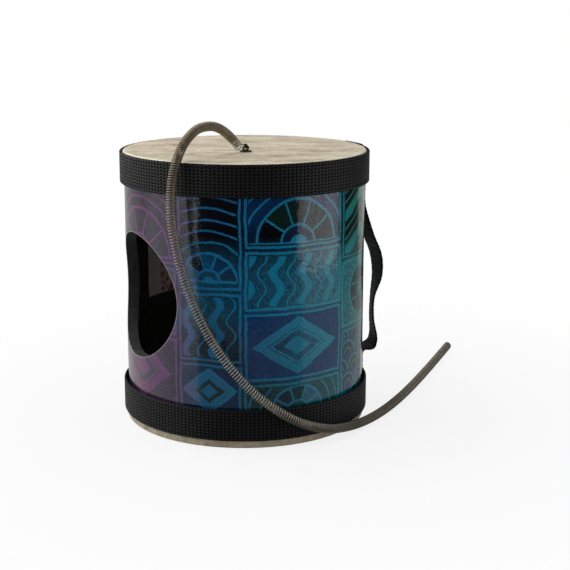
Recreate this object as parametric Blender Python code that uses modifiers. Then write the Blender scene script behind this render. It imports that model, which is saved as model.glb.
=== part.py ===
"""Spring drum: a two-headed hand drum with a sound hole, webbing bands, a carry strap and a long coil spring.

The drum stands on its bottom head. The origin is at the middle of that head's lower face, +Z is up, and the
front, which faces -Y, has the sound hole on its left and the strap on its right. All lengths are in metres.
"""

import math

import bmesh
import bpy
from mathutils import Matrix, Vector

# Drum body
HEIGHT = 0.1722
SHELL_RADIUS = 0.0755
SHELL_WALL = 0.0060
GAP = 0.0003
WRAP_THICKNESS = 0.0004
HEAD_THICKNESS = 0.0005
HEAD_BEND = 0.0016
HEAD_BEND_STEPS = 4
SKIRT_LENGTH = 0.0150
TURN_STEPS = 72

# Webbing bands
BAND_WIDTH = 0.0197
BAND_THICKNESS = 0.0017
BAND_EDGE = 0.0004
TOP_BAND_DROP = 0.0003
BOTTOM_BAND_RISE = 0.0050
BAND_LAP_START = 22.0
BAND_LAP_ANGLE = 12.0
BAND_RAMP_ANGLE = 7.0
BAND_STEP_ANGLE = 5.0
BAND_RAMP_STEPS = 4
SQUARE_EDGE_ANGLE = 60.0

# Sound hole, cut straight through the wall towards the drum's left front
SOUND_HOLE_RADIUS = 0.0390
SOUND_HOLE_HEIGHT = 0.0854
SOUND_HOLE_AZIMUTH = 208.0
SOUND_HOLE_STEPS = 48

# Eye, grommet and washer at the spring's tie point on the head
EYE_X = 0.0010
EYE_Y = -0.0200
EYE_WIRE_RADIUS = 0.0005
EYE_HALF_WIDTH = 0.0023
EYE_HALF_HEIGHT = 0.0012
EYE_LEG_OFFSET = 0.0007
EYE_LEG_SPREAD = 0.0034
EYE_LEG_BEND = 0.0007
EYE_LEG_BEND_STEPS = 2
EYE_PLANE_AZIMUTH = 45.0
EYE_NECK = 0.0003
EYE_LOOP_STEPS = 20
EYE_WIRE_RESOLUTION = 2
GROMMET_WALL = 0.0004
GROMMET_FLANGE_RADIUS = 0.0038
GROMMET_FLANGE = 0.0005
GROMMET_CROWN = 0.0002
GROMMET_INNER_FLANGE_RADIUS = 0.0033
EYE_WASHER_RADIUS = 0.0050
EYE_WASHER_THICKNESS = 0.0008
SMALL_TURN_STEPS = 24

# Spring
SPRING_RADIUS = 0.0029
SPRING_WIRE_RADIUS = 0.00085
SPRING_WIRE_RESOLUTION = 1
SPRING_CURLS = 80
POINTS_PER_CURL = 8
ROUTE_SAMPLES = 24
HOOK_WIRE_RADIUS = 0.00045
HOOK_RADIUS = 0.0013
HOOK_START_ANGLE = 105.0
HOOK_END_ANGLE = 330.0
HOOK_POINTS = 11

# The lead between the hook and the first curl, as (along the eye's plane, aside, above) from the eye's top
LEAD_ROUTE = [(-0.0008, 0.0006, 0.0017), (-0.0020, 0.0012, 0.0017)]
LEAD_SAMPLES = 3

# Carry strap and its screws
STRAP_WIDTH = 0.0190
STRAP_THICKNESS = 0.0014
STRAP_REACH = 0.0128
STRAP_EDGE = 0.0004
STRAP_SAMPLES = 3
STRAP_AZIMUTH = 14.0
STRAP_TO_TOP_BAND = 0.0018
STRAP_TO_BOTTOM_BAND = 0.0008
UPPER_SCREW_TO_END = 0.0065
LOWER_SCREW_TO_END = 0.0042
UPPER_TAB_FLAT = 0.0060
LOWER_TAB_FLAT = 0.0044
SCREW_HEAD_RADIUS = 0.0032
SCREW_HEAD_HEIGHT = 0.0021
SCREW_DOME_STEPS = 5
SCREW_SHANK_RADIUS = 0.0018
SCREW_END = 0.0010
SCREW_HOLE_STEPS = 16
NUT_ACROSS_FLATS = 0.0068
NUT_HEIGHT = 0.0030
STRAP_WASHER_RADIUS = 0.0050
STRAP_WASHER_THICKNESS = 0.0008

# Paper label inside the shell
LABEL_THICKNESS = 0.0003
LABEL_EDGE = 0.00005
LABEL_STEPS = 12
LABEL_AZIMUTH = 132.0
LABEL_ANGLE = 54.0
LABEL_BOTTOM = 0.0690
LABEL_TOP = 0.1420

# The spring's centre line, from its hooked end over the head's edge to its bare end
SPRING_ROUTE = [
    (-0.0033, -0.0226, 0.1754),
    (-0.0054, -0.0290, 0.1812),
    (-0.0086, -0.0358, 0.1859),
    (-0.0134, -0.0428, 0.1895),
    (-0.0190, -0.0496, 0.1910),
    (-0.0260, -0.0583, 0.1903),
    (-0.0313, -0.0653, 0.1861),
    (-0.0352, -0.0709, 0.1801),
    (-0.0388, -0.0756, 0.1701),
    (-0.0407, -0.0774, 0.1592),
    (-0.0412, -0.0780, 0.1441),
    (-0.0397, -0.0780, 0.1288),
    (-0.0366, -0.0782, 0.1138),
    (-0.0323, -0.0790, 0.0991),
    (-0.0267, -0.0805, 0.0849),
    (-0.0198, -0.0821, 0.0712),
    (-0.0116, -0.0834, 0.0583),
    (-0.0020, -0.0839, 0.0460),
    (0.0090, -0.0832, 0.0346),
    (0.0216, -0.0804, 0.0242),
    (0.0357, -0.0748, 0.0151),
    (0.0516, -0.0646, 0.0084),
    (0.0642, -0.0532, 0.0057),
    (0.0769, -0.0368, 0.0042),
    (0.0895, -0.0152, 0.0033),
    (0.1022, 0.0108, 0.0030),
    (0.1150, 0.0407, 0.0030),
    (0.1284, 0.0748, 0.0030),
    (0.1427, 0.1127, 0.0030),
    (0.1528, 0.1398, 0.0030),
]

# The strap's loop as (share of its reach, share of the height between its flat ends, twist in degrees)
STRAP_LOOP = [
    (0.094, 0.928, -2.0),
    (0.469, 0.769, -6.0),
    (0.906, 0.634, -6.0),
    (1.000, 0.499, 0.0),
    (0.773, 0.364, 12.0),
    (0.742, 0.229, 11.0),
    (0.852, 0.114, 5.0),
    (0.812, 0.061, 3.0),
    (0.656, 0.033, 0.0),
    (0.438, 0.027, 0.0),
    (0.234, 0.029, 0.0),
    (0.078, 0.019, 0.0),
]

# Points closer together than this are one point, and a sharper corner than this is shaded sharp
MERGE_DISTANCE = 0.00001
SHARP_ANGLE = 35.0

# A cutter is this many times as long as what it goes through
CUTTER_REACH = 3.0

# The spring's gap to itself is measured between places this far apart along its wire
SELF_GAP_FROM = 0.004
SELF_GAP_TO = 0.040
SELF_GAP_SAMPLES = 4

# Sizes that follow from the ones above
WRAP_RADIUS = SHELL_RADIUS + GAP + WRAP_THICKNESS
SKIRT_RADIUS = WRAP_RADIUS + GAP + HEAD_THICKNESS
BAND_INNER_RADIUS = SKIRT_RADIUS + GAP
SHELL_INNER_RADIUS = SHELL_RADIUS - SHELL_WALL
END_SPACE = HEAD_THICKNESS + GAP
TOP_BAND_LOW = HEIGHT - TOP_BAND_DROP - BAND_WIDTH
BOTTOM_BAND_HIGH = BOTTOM_BAND_RISE + BAND_WIDTH
UPPER_SCREW_HEIGHT = TOP_BAND_LOW - STRAP_TO_TOP_BAND - UPPER_SCREW_TO_END
LOWER_SCREW_HEIGHT = BOTTOM_BAND_HIGH + STRAP_TO_BOTTOM_BAND + LOWER_SCREW_TO_END
EYE_CENTRE = Vector((EYE_X, EYE_Y, HEIGHT + GAP + GROMMET_FLANGE + EYE_NECK + EYE_HALF_HEIGHT))
EYE_AXIS = Vector((math.cos(math.radians(EYE_PLANE_AZIMUTH)), math.sin(math.radians(EYE_PLANE_AZIMUTH)), 0.0))
EYE_SIDE = Vector((-EYE_AXIS.y, EYE_AXIS.x, 0.0))
EYE_TOP = EYE_CENTRE + Vector((0.0, 0.0, EYE_HALF_HEIGHT))
GROMMET_BORE = EYE_LEG_OFFSET + EYE_WIRE_RADIUS + GAP
GROMMET_RADIUS = GROMMET_BORE + GROMMET_WALL
STRAP_MIDDLE_RADIUS = WRAP_RADIUS + STRAP_THICKNESS / 2
STRAP_DIRECTION = Vector((math.cos(math.radians(STRAP_AZIMUTH)), math.sin(math.radians(STRAP_AZIMUTH)), 0.0))
STRAP_SIDE = Vector((-STRAP_DIRECTION.y, STRAP_DIRECTION.x, 0.0))

for old in list(bpy.data.objects):
    bpy.data.objects.remove(old)

drum = bpy.data.collections.new("spring_drum")
cutters = bpy.data.collections.new("cutters")
bpy.context.scene.collection.children.link(drum)
bpy.context.scene.collection.children.link(cutters)


def material(name, colour, roughness, metallic=0.0):
    made = bpy.data.materials.new(name)
    made.use_nodes = True
    shader = made.node_tree.nodes["Principled BSDF"]
    shader.inputs["Base Color"].default_value = (*colour, 1.0)
    shader.inputs["Roughness"].default_value = roughness
    shader.inputs["Metallic"].default_value = metallic
    made.diffuse_color = (*colour, 1.0)
    return made


fibre = material("fibre_tube", (0.040, 0.040, 0.042), 0.8)
film = material("printed_film", (0.015, 0.110, 0.190), 0.15)
skin = material("head_skin", (0.560, 0.500, 0.370), 0.6)
webbing = material("black_webbing", (0.012, 0.012, 0.012), 0.85)
dark_metal = material("dark_metal", (0.060, 0.055, 0.045), 0.4, 1.0)
spring_steel = material("spring_steel", (0.190, 0.165, 0.135), 0.35, 1.0)
zinc = material("zinc_plate", (0.550, 0.550, 0.560), 0.35, 1.0)
paper = material("label_paper", (0.160, 0.110, 0.085), 0.8)


def add_object(name, mesh, finish=None, collection=drum, matrix=None):
    made = bpy.data.objects.new(name, mesh)
    collection.objects.link(made)
    if finish:
        mesh.materials.append(finish)
    if matrix:
        made.matrix_world = matrix
    if collection is cutters:
        made.hide_render = True
        made.display_type = "WIRE"
    return made


def smooth(made):
    made.data.shade_smooth()
    made.data.set_sharp_from_angle(angle=math.radians(SHARP_ANGLE))


def turned(name, profile, finish, steps=TURN_STEPS, matrix=None):
    """A closed outline of (radius, height) points, listed down its outer side, turned round its Z axis."""
    mesh = bpy.data.meshes.new(name)
    outline = bmesh.new()
    points = [outline.verts.new((radius, 0.0, height)) for radius, height in profile]
    for first, second in zip(points, points[1:] + points[:1]):
        if first.co.x > 0.0 or second.co.x > 0.0:
            outline.edges.new((first, second))
    outline.to_mesh(mesh)
    outline.free()
    made = add_object(name, mesh, finish, matrix=matrix)
    screw = made.modifiers.new("turn", "SCREW")
    screw.steps = steps
    screw.render_steps = steps
    screw.use_merge_vertices = True
    screw.merge_threshold = MERGE_DISTANCE
    screw.use_smooth_shade = True
    return made


def cylinder_cutter(name, radius, length, matrix, steps=SMALL_TURN_STEPS):
    """A round cutter along its own Z axis, centred on the matrix's place."""
    mesh = bpy.data.meshes.new(name)
    solid = bmesh.new()
    bmesh.ops.create_cone(
        solid, cap_ends=True, segments=steps, radius1=radius, radius2=radius, depth=length
    )
    solid.to_mesh(mesh)
    solid.free()
    return add_object(name, mesh, collection=cutters, matrix=matrix)


def cut(made, cutter):
    boolean = made.modifiers.new("cut " + cutter.name, "BOOLEAN")
    boolean.operation = "DIFFERENCE"
    boolean.solver = "EXACT"
    boolean.object = cutter


def radial_frame(azimuth, distance, height):
    """A frame whose Z axis points straight out of the drum at an azimuth in degrees."""
    angle = math.radians(azimuth)
    out = Vector((math.cos(angle), math.sin(angle), 0.0))
    place = out * distance
    place.z = height
    return Matrix.Translation(place) @ out.to_track_quat("Z", "Y").to_matrix().to_4x4()


def quarter_turn(steps):
    """Evenly spaced angles from 0 to 90 degrees, in radians."""
    return [math.pi / 2 * step / steps for step in range(steps + 1)]


def smooth_line(points, samples):
    """Points along a Catmull-Rom curve through the given points, samples to each stretch."""
    ends = [points[0] * 2 - points[1], *points, points[-1] * 2 - points[-2]]
    line = []
    for before, start, end, after in zip(ends, ends[1:], ends[2:], ends[3:]):
        for step in range(samples):
            t = step / samples
            line.append(
                (
                    start * 2
                    + (end - before) * t
                    + (before * 2 - start * 5 + end * 4 - after) * t**2
                    + (start * 3 - before - end * 3 + after) * t**3
                )
                / 2
            )
    line.append(points[-1].copy())
    return line


def even_line(line, count):
    """The same line with its points evenly spaced along its length."""
    reach = [0.0]
    for first, second in zip(line, line[1:]):
        reach.append(reach[-1] + (second - first).length)
    even = []
    segment = 0
    for index in range(count):
        wanted = reach[-1] * index / (count - 1)
        while segment < len(line) - 2 and reach[segment + 1] < wanted:
            segment += 1
        share = (wanted - reach[segment]) / (reach[segment + 1] - reach[segment])
        even.append(line[segment].lerp(line[segment + 1], share))
    return even, reach[-1]


def wire(name, points, radii, finish, resolution):
    """A round wire as one unbroken tube with filled ends."""
    curve = bpy.data.curves.new(name, "CURVE")
    curve.dimensions = "3D"
    curve.bevel_depth = 1.0
    curve.bevel_resolution = resolution
    curve.use_fill_caps = True
    curve.twist_mode = "MINIMUM"
    spline = curve.splines.new("POLY")
    spline.points.add(len(points) - 1)
    for point, place, radius in zip(spline.points, points, radii):
        point.co = (*place, 1.0)
        point.radius = radius
    return add_object(name, curve, finish)


def strip(name, rows, thickness, offset, edge, finish):
    """A strip of webbing: an open surface between pairs of edge points, made thick, with softened edges."""
    mesh = bpy.data.meshes.new(name)
    surface = bmesh.new()
    pairs = [(surface.verts.new(low), surface.verts.new(high)) for low, high in rows]
    for (low, high), (next_low, next_high) in zip(pairs, pairs[1:]):
        surface.faces.new((low, next_low, next_high, high))
    surface.to_mesh(mesh)
    surface.free()
    made = add_object(name, mesh, finish)
    solidify = made.modifiers.new("thickness", "SOLIDIFY")
    solidify.thickness = thickness
    solidify.offset = offset
    solidify.use_even_offset = True
    bevel = made.modifiers.new("soft edges", "BEVEL")
    bevel.width = edge
    bevel.segments = 1
    bevel.limit_method = "ANGLE"
    bevel.angle_limit = math.radians(SQUARE_EDGE_ANGLE)
    smooth(made)
    return made


def shell():
    return turned(
        "shell",
        [
            (SHELL_RADIUS, HEIGHT - END_SPACE),
            (SHELL_RADIUS, END_SPACE),
            (SHELL_INNER_RADIUS, END_SPACE),
            (SHELL_INNER_RADIUS, HEIGHT - END_SPACE),
        ],
        fibre,
    )


def print_wrap():
    return turned(
        "print_wrap",
        [
            (WRAP_RADIUS, HEIGHT - HEAD_BEND),
            (WRAP_RADIUS, HEAD_BEND),
            (WRAP_RADIUS - WRAP_THICKNESS, HEAD_BEND),
            (WRAP_RADIUS - WRAP_THICKNESS, HEIGHT - HEAD_BEND),
        ],
        film,
    )


def head(name, height, up):
    """A head with a rounded edge and a skirt. Up is 1 for the top head and -1 for the bottom head."""
    bend = quarter_turn(HEAD_BEND_STEPS)
    inner_bend = HEAD_BEND - HEAD_THICKNESS
    middle = SKIRT_RADIUS - HEAD_BEND
    outside = [(0.0, 0.0)] + [
        (middle + HEAD_BEND * math.sin(a), -HEAD_BEND * (1 - math.cos(a))) for a in bend
    ]
    inside = [
        (middle + inner_bend * math.sin(a), -HEAD_THICKNESS - inner_bend * (1 - math.cos(a)))
        for a in reversed(bend[::2])
    ]
    ends = [(SKIRT_RADIUS, -SKIRT_LENGTH), (SKIRT_RADIUS - HEAD_THICKNESS, -SKIRT_LENGTH)]
    outline = outside + ends + inside + [(0.0, -HEAD_THICKNESS)]
    profile = [(radius, height + up * drop) for radius, drop in outline]
    if up < 0:
        profile.reverse()
    return turned(name, profile, skin)


def band(name, low):
    """Webbing wound once round the drum, with its end lapped over its start."""
    turn = 360.0 - BAND_STEP_ANGLE / 2
    end = 360.0 + BAND_LAP_ANGLE
    lap = BAND_THICKNESS + GAP
    angles = [BAND_STEP_ANGLE * step for step in range(int((turn - BAND_RAMP_ANGLE) / BAND_STEP_ANGLE) + 1)]
    ramp_start = angles[-1]
    ramp = turn - ramp_start
    angles += [ramp_start + ramp * step / BAND_RAMP_STEPS for step in range(1, BAND_RAMP_STEPS)]
    angles += [turn, turn + BAND_STEP_ANGLE, end]
    rows = []
    for angle in angles:
        share = min(max((angle - ramp_start) / ramp, 0.0), 1.0)
        radius = BAND_INNER_RADIUS + lap * share * share * (3 - 2 * share)
        place = math.radians(BAND_LAP_START + angle)
        foot = Vector((radius * math.cos(place), radius * math.sin(place), low))
        rows.append((foot, foot + Vector((0.0, 0.0, BAND_WIDTH))))
    return strip(name, rows, BAND_THICKNESS, 1.0, BAND_EDGE, webbing)


def head_grommet():
    top = HEIGHT + GAP
    under = HEIGHT - HEAD_THICKNESS - GAP
    return turned(
        "head_grommet",
        [
            (GROMMET_BORE + GROMMET_CROWN, top + GROMMET_FLANGE),
            (GROMMET_FLANGE_RADIUS - GROMMET_CROWN, top + GROMMET_FLANGE),
            (GROMMET_FLANGE_RADIUS, top + GROMMET_CROWN),
            (GROMMET_FLANGE_RADIUS, top),
            (GROMMET_RADIUS, top),
            (GROMMET_RADIUS, under),
            (GROMMET_INNER_FLANGE_RADIUS, under),
            (GROMMET_INNER_FLANGE_RADIUS, under - GROMMET_FLANGE),
            (GROMMET_BORE, under - GROMMET_FLANGE),
            (GROMMET_BORE, top + GROMMET_FLANGE - GROMMET_CROWN),
        ],
        dark_metal,
        steps=SMALL_TURN_STEPS,
        matrix=Matrix.Translation((EYE_X, EYE_Y, 0.0)),
    )


def eye_washer_top():
    return HEIGHT - HEAD_THICKNESS - GAP - GROMMET_FLANGE - GAP


def eye_washer():
    top = eye_washer_top()
    return turned(
        "eye_washer",
        [
            (EYE_WASHER_RADIUS, top),
            (EYE_WASHER_RADIUS, top - EYE_WASHER_THICKNESS),
            (GROMMET_BORE, top - EYE_WASHER_THICKNESS),
            (GROMMET_BORE, top),
        ],
        zinc,
        steps=SMALL_TURN_STEPS,
        matrix=Matrix.Translation((EYE_X, EYE_Y, 0.0)),
    )


def spring_eye():
    """A split pin: an oval eye over the head, two legs through the grommet, spread under the washer."""
    spread_height = eye_washer_top() - EYE_WASHER_THICKNESS - GAP - EYE_WIRE_RADIUS
    neck_angle = math.asin(EYE_LEG_OFFSET / EYE_HALF_WIDTH)
    loop = []
    for step in range(EYE_LOOP_STEPS + 1):
        angle = neck_angle + (math.tau - 2 * neck_angle) * step / EYE_LOOP_STEPS
        loop.append((EYE_HALF_WIDTH * math.sin(angle), -EYE_HALF_HEIGHT * math.cos(angle)))
    leg = [(EYE_LEG_OFFSET + EYE_LEG_SPREAD, spread_height)]
    for angle in quarter_turn(EYE_LEG_BEND_STEPS):
        out = EYE_LEG_BEND * (1 - math.sin(angle))
        rise = EYE_LEG_BEND * (1 - math.cos(angle))
        leg.append((EYE_LEG_OFFSET + out, spread_height + rise))
    leg.append((EYE_LEG_OFFSET, HEIGHT + GAP + GROMMET_FLANGE))
    right = [(x, z - EYE_CENTRE.z) for x, z in leg]
    left = [(-x, z) for x, z in reversed(right)]
    points = [EYE_CENTRE + EYE_AXIS * x + Vector((0.0, 0.0, z)) for x, z in right + loop + left]
    return wire("spring_eye", points, [EYE_WIRE_RADIUS] * len(points), dark_metal, EYE_WIRE_RESOLUTION)


def spring_points():
    """The spring's wire: its hook round the eye's top, a lead and its curls, with each point's radius."""

    def from_eye(along, aside, above):
        return EYE_TOP + EYE_AXIS * along + EYE_SIDE * aside + Vector((0.0, 0.0, above))

    hook = []
    for step in range(HOOK_POINTS):
        angle = HOOK_END_ANGLE + (HOOK_START_ANGLE - HOOK_END_ANGLE) * step / (HOOK_POINTS - 1)
        angle = math.radians(angle)
        hook.append(from_eye(0.0, HOOK_RADIUS * math.cos(angle), HOOK_RADIUS * math.sin(angle)))

    route = smooth_line([Vector(place) for place in SPRING_ROUTE], ROUTE_SAMPLES)
    line, length = even_line(route, SPRING_CURLS * POINTS_PER_CURL + 1)
    mean_radius = SPRING_RADIUS - SPRING_WIRE_RADIUS
    forward = (line[1] - line[0]).normalized()
    across = (EYE_AXIS - forward * EYE_AXIS.dot(forward)).normalized()
    curls = []
    for index, place in enumerate(line):
        ahead = (line[min(index + 1, len(line) - 1)] - line[max(index - 1, 0)]).normalized()
        across = (across - ahead * across.dot(ahead)).normalized()
        angle = math.tau * index / POINTS_PER_CURL
        curls.append(
            place + (across * math.cos(angle) + ahead.cross(across) * math.sin(angle)) * mean_radius
        )
    lead_route = [hook[-1], *(from_eye(*place) for place in LEAD_ROUTE), curls[0]]
    lead = smooth_line(lead_route, LEAD_SAMPLES)[1:-1]
    points = hook + lead + curls
    growth = [(step + 1) / (len(lead) + 1) for step in range(len(lead))]
    radii = [HOOK_WIRE_RADIUS] * len(hook)
    radii += [HOOK_WIRE_RADIUS + (SPRING_WIRE_RADIUS - HOOK_WIRE_RADIUS) * share for share in growth]
    radii += [SPRING_WIRE_RADIUS] * len(curls)
    return points, radii, length


def least_self_gap(points, radii):
    """The least distance from the wire's surface to itself, leaving out neighbours along it."""
    fine = []
    along = 0.0
    for first, second, start, end in zip(points, points[1:], radii, radii[1:]):
        for step in range(SELF_GAP_SAMPLES):
            share = step / SELF_GAP_SAMPLES
            reach = along + (second - first).length * share
            fine.append((first.lerp(second, share), start + (end - start) * share, reach))
        along += (second - first).length
    least = 1.0
    for index, (place, radius, reach) in enumerate(fine):
        for other, other_radius, other_reach in fine[index + 1 :]:
            if other_reach - reach > SELF_GAP_TO:
                break
            if other_reach - reach > SELF_GAP_FROM:
                least = min(least, (other - place).length - radius - other_radius)
    return least


def spring():
    points, radii, length = spring_points()
    gap = least_self_gap(points, radii)
    print(f"spring: {length * 1000:.0f} mm long, least gap to itself {gap * 1000:.2f} mm")
    return wire("spring", points, radii, spring_steel, SPRING_WIRE_RESOLUTION)


def carry_strap():
    """A strip of webbing that stands off the shell between its two flat, screwed ends."""
    loop_top = UPPER_SCREW_HEIGHT - UPPER_TAB_FLAT
    loop_bottom = LOWER_SCREW_HEIGHT + LOWER_TAB_FLAT
    upper_tab = (UPPER_SCREW_HEIGHT + UPPER_SCREW_TO_END, UPPER_SCREW_HEIGHT, loop_top)
    lower_tab = (loop_bottom, LOWER_SCREW_HEIGHT, LOWER_SCREW_HEIGHT - LOWER_SCREW_TO_END)
    points = [Vector((GAP, height, 0.0)) for height in upper_tab]
    points += [
        Vector((STRAP_REACH * out, loop_bottom + (loop_top - loop_bottom) * share, twist))
        for out, share, twist in STRAP_LOOP
    ]
    points += [Vector((GAP, height, 0.0)) for height in lower_tab]
    route = smooth_line(points, STRAP_SAMPLES)
    rows = []
    for index, (clearance, height, twist) in enumerate(route):
        before = route[max(index - 1, 0)]
        after = route[min(index + 1, len(route) - 1)]
        ahead = (STRAP_DIRECTION * (after.x - before.x) + Vector((0.0, 0.0, after.y - before.y))).normalized()
        side = Matrix.Rotation(math.radians(twist), 3, ahead) @ STRAP_SIDE
        middle = STRAP_DIRECTION * (STRAP_MIDDLE_RADIUS + clearance) + Vector((0.0, 0.0, height))
        rows.append((middle - side * STRAP_WIDTH / 2, middle + side * STRAP_WIDTH / 2))
    return strip("carry_strap", rows, STRAP_THICKNESS, 0.0, STRAP_EDGE, webbing)


def strap_screw(name, height):
    """A dome-headed screw from outside the strap to inside the shell."""
    seat = STRAP_MIDDLE_RADIUS + GAP + STRAP_THICKNESS / 2 + GAP
    end = strap_nut_seat() - NUT_HEIGHT - SCREW_END - seat
    dome = quarter_turn(SCREW_DOME_STEPS)
    profile = [(SCREW_HEAD_RADIUS * math.sin(a), SCREW_HEAD_HEIGHT * math.cos(a)) for a in dome]
    profile += [(SCREW_SHANK_RADIUS, 0.0), (SCREW_SHANK_RADIUS, end), (0.0, end)]
    place = radial_frame(STRAP_AZIMUTH, seat, height)
    return turned(name, profile, dark_metal, steps=SMALL_TURN_STEPS, matrix=place)


def strap_washer_seat():
    """How far out a flat washer can sit against the shell's curved inner wall."""
    return math.sqrt(SHELL_INNER_RADIUS**2 - STRAP_WASHER_RADIUS**2) - GAP


def strap_nut_seat():
    return strap_washer_seat() - STRAP_WASHER_THICKNESS - GAP


def strap_washer(name, height):
    return turned(
        name,
        [
            (STRAP_WASHER_RADIUS, 0.0),
            (STRAP_WASHER_RADIUS, -STRAP_WASHER_THICKNESS),
            (SCREW_SHANK_RADIUS + GAP, -STRAP_WASHER_THICKNESS),
            (SCREW_SHANK_RADIUS + GAP, 0.0),
        ],
        zinc,
        steps=SMALL_TURN_STEPS,
        matrix=radial_frame(STRAP_AZIMUTH, strap_washer_seat(), height),
    )


def strap_nut(name, height):
    """A hexagon nut with its bore cut out."""
    frame = radial_frame(STRAP_AZIMUTH, strap_nut_seat() - NUT_HEIGHT / 2, height)
    mesh = bpy.data.meshes.new(name)
    solid = bmesh.new()
    corner = NUT_ACROSS_FLATS / 2 / math.cos(math.radians(30))
    bmesh.ops.create_cone(
        solid, cap_ends=True, segments=6, radius1=corner, radius2=corner, depth=NUT_HEIGHT
    )
    solid.to_mesh(mesh)
    solid.free()
    made = add_object(name, mesh, zinc, matrix=frame)
    bore = cylinder_cutter(name + "_bore", SCREW_SHANK_RADIUS + GAP, NUT_HEIGHT * CUTTER_REACH, frame)
    cut(made, bore)
    return made


def inner_label():
    """A paper label that follows the shell's inner wall."""
    radius = SHELL_INNER_RADIUS - GAP
    rows = []
    for step in range(LABEL_STEPS + 1):
        angle = math.radians(LABEL_AZIMUTH - LABEL_ANGLE / 2 + LABEL_ANGLE * step / LABEL_STEPS)
        foot = Vector((radius * math.cos(angle), radius * math.sin(angle), LABEL_BOTTOM))
        rows.append((foot, foot + Vector((0.0, 0.0, LABEL_TOP - LABEL_BOTTOM))))
    return strip("inner_label", rows, LABEL_THICKNESS, -1.0, LABEL_EDGE, paper)


def build():
    body = shell()
    wrap = print_wrap()
    upper_head = head("top_head", HEIGHT, 1)
    head("bottom_head", 0.0, -1)
    band("top_band", TOP_BAND_LOW)
    band("bottom_band", BOTTOM_BAND_RISE)
    strap = carry_strap()
    head_grommet()
    eye_washer()
    spring_eye()
    spring()
    inner_label()

    hole_frame = radial_frame(SOUND_HOLE_AZIMUTH, SHELL_RADIUS, SOUND_HOLE_HEIGHT)
    hole = cylinder_cutter(
        "sound_hole", SOUND_HOLE_RADIUS, SHELL_RADIUS, hole_frame, steps=SOUND_HOLE_STEPS
    )
    cut(body, hole)
    cut(wrap, hole)
    grommet_hole = cylinder_cutter(
        "grommet_hole",
        GROMMET_RADIUS + GAP,
        HEAD_THICKNESS * CUTTER_REACH,
        Matrix.Translation((EYE_X, EYE_Y, HEIGHT - HEAD_THICKNESS / 2)),
    )
    cut(upper_head, grommet_hole)
    for place, height in (("upper", UPPER_SCREW_HEIGHT), ("lower", LOWER_SCREW_HEIGHT)):
        screw_frame = radial_frame(STRAP_AZIMUTH, SHELL_RADIUS, height)
        hole = cylinder_cutter(
            place + "_screw_hole",
            SCREW_SHANK_RADIUS + GAP,
            SHELL_WALL * CUTTER_REACH,
            screw_frame,
            steps=SCREW_HOLE_STEPS,
        )
        for pierced in (body, wrap, strap):
            cut(pierced, hole)
        strap_screw(place + "_strap_screw", height)
        strap_washer(place + "_strap_washer", height)
        strap_nut(place + "_strap_nut", height)


build()
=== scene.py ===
"""Spring drum: the finishes of the drum, its webbing, its head and its coil spring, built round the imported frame."""

import math

import bpy
from mathutils import Matrix, Vector


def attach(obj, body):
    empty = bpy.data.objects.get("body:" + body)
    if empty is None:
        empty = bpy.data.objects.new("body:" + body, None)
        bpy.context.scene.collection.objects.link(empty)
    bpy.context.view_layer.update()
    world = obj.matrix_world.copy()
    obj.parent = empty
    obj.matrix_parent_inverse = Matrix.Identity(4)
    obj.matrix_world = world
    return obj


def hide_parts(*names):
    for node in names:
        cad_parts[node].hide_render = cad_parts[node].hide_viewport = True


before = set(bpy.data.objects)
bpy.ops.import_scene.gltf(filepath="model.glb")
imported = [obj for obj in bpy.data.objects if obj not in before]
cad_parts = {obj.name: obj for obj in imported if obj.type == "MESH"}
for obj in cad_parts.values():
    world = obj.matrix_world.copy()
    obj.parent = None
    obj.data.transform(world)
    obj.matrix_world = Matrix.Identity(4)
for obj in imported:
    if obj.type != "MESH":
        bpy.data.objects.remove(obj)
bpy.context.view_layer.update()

# The drum's sizes, in metres
HEIGHT = 0.1722
SHELL_RADIUS = 0.0755
SHELL_WALL = 0.0060
SHELL_END = 0.0008
WRAP_RADIUS = 0.0762
WRAP_THICKNESS = 0.0004
HEAD_BEND = 0.0016
HEAD_THICKNESS = 0.0005
SKIRT_RADIUS = 0.0770
SKIRT_LENGTH = 0.0150
SOUND_HOLE_RADIUS = 0.0390
SOUND_HOLE_HEIGHT = 0.0854
SOUND_HOLE_AZIMUTH = 208.0
TURN_SIDES = 256
GAP = 0.0003

# The webbing
WEBBING_WIDTH = 0.0197
WEBBING_THICKNESS = 0.0017
BAND_RADIUS = 0.0773
BAND_LAP_START = 22.0
BAND_LAP_ANGLE = 12.0
BAND_RAMP_ANGLE = 7.0
TOP_BAND_LOW = 0.1522
BOTTOM_BAND_LOW = 0.0050
STRAP_WIDTH = 0.0190
STRAP_THICKNESS = 0.0014
STRAP_REACH = 0.0128
STRAP_AZIMUTH = 14.0
UPPER_SCREW_HEIGHT = 0.1439
LOWER_SCREW_HEIGHT = 0.0297

# The weave: columns of slanted yarns, the slant turning over from each column to the next
YARN_ROW = 0.00193
YARN_COLUMN = 0.00250
YARN_DEPTH = 0.00032
SELVEDGE_NOTCH = 0.00012
STATION_STEP = YARN_COLUMN / 6
SECTION_STEP = 0.00033

# The strap's flat ends as heights, and its loop as (share of its reach, share of the height, twist in degrees)
STRAP_UPPER_END = (0.1504, 0.1439, 0.1379)
STRAP_LOWER_END = (0.0341, 0.0297, 0.0255)
STRAP_LOOP = [
    (0.094, 0.928, -2.0),
    (0.469, 0.769, -6.0),
    (0.906, 0.634, -6.0),
    (1.000, 0.499, 0.0),
    (0.773, 0.364, 12.0),
    (0.742, 0.229, 11.0),
    (0.852, 0.114, 5.0),
    (0.812, 0.061, 3.0),
    (0.656, 0.033, 0.0),
    (0.438, 0.027, 0.0),
    (0.234, 0.029, 0.0),
    (0.078, 0.019, 0.0),
]

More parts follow.
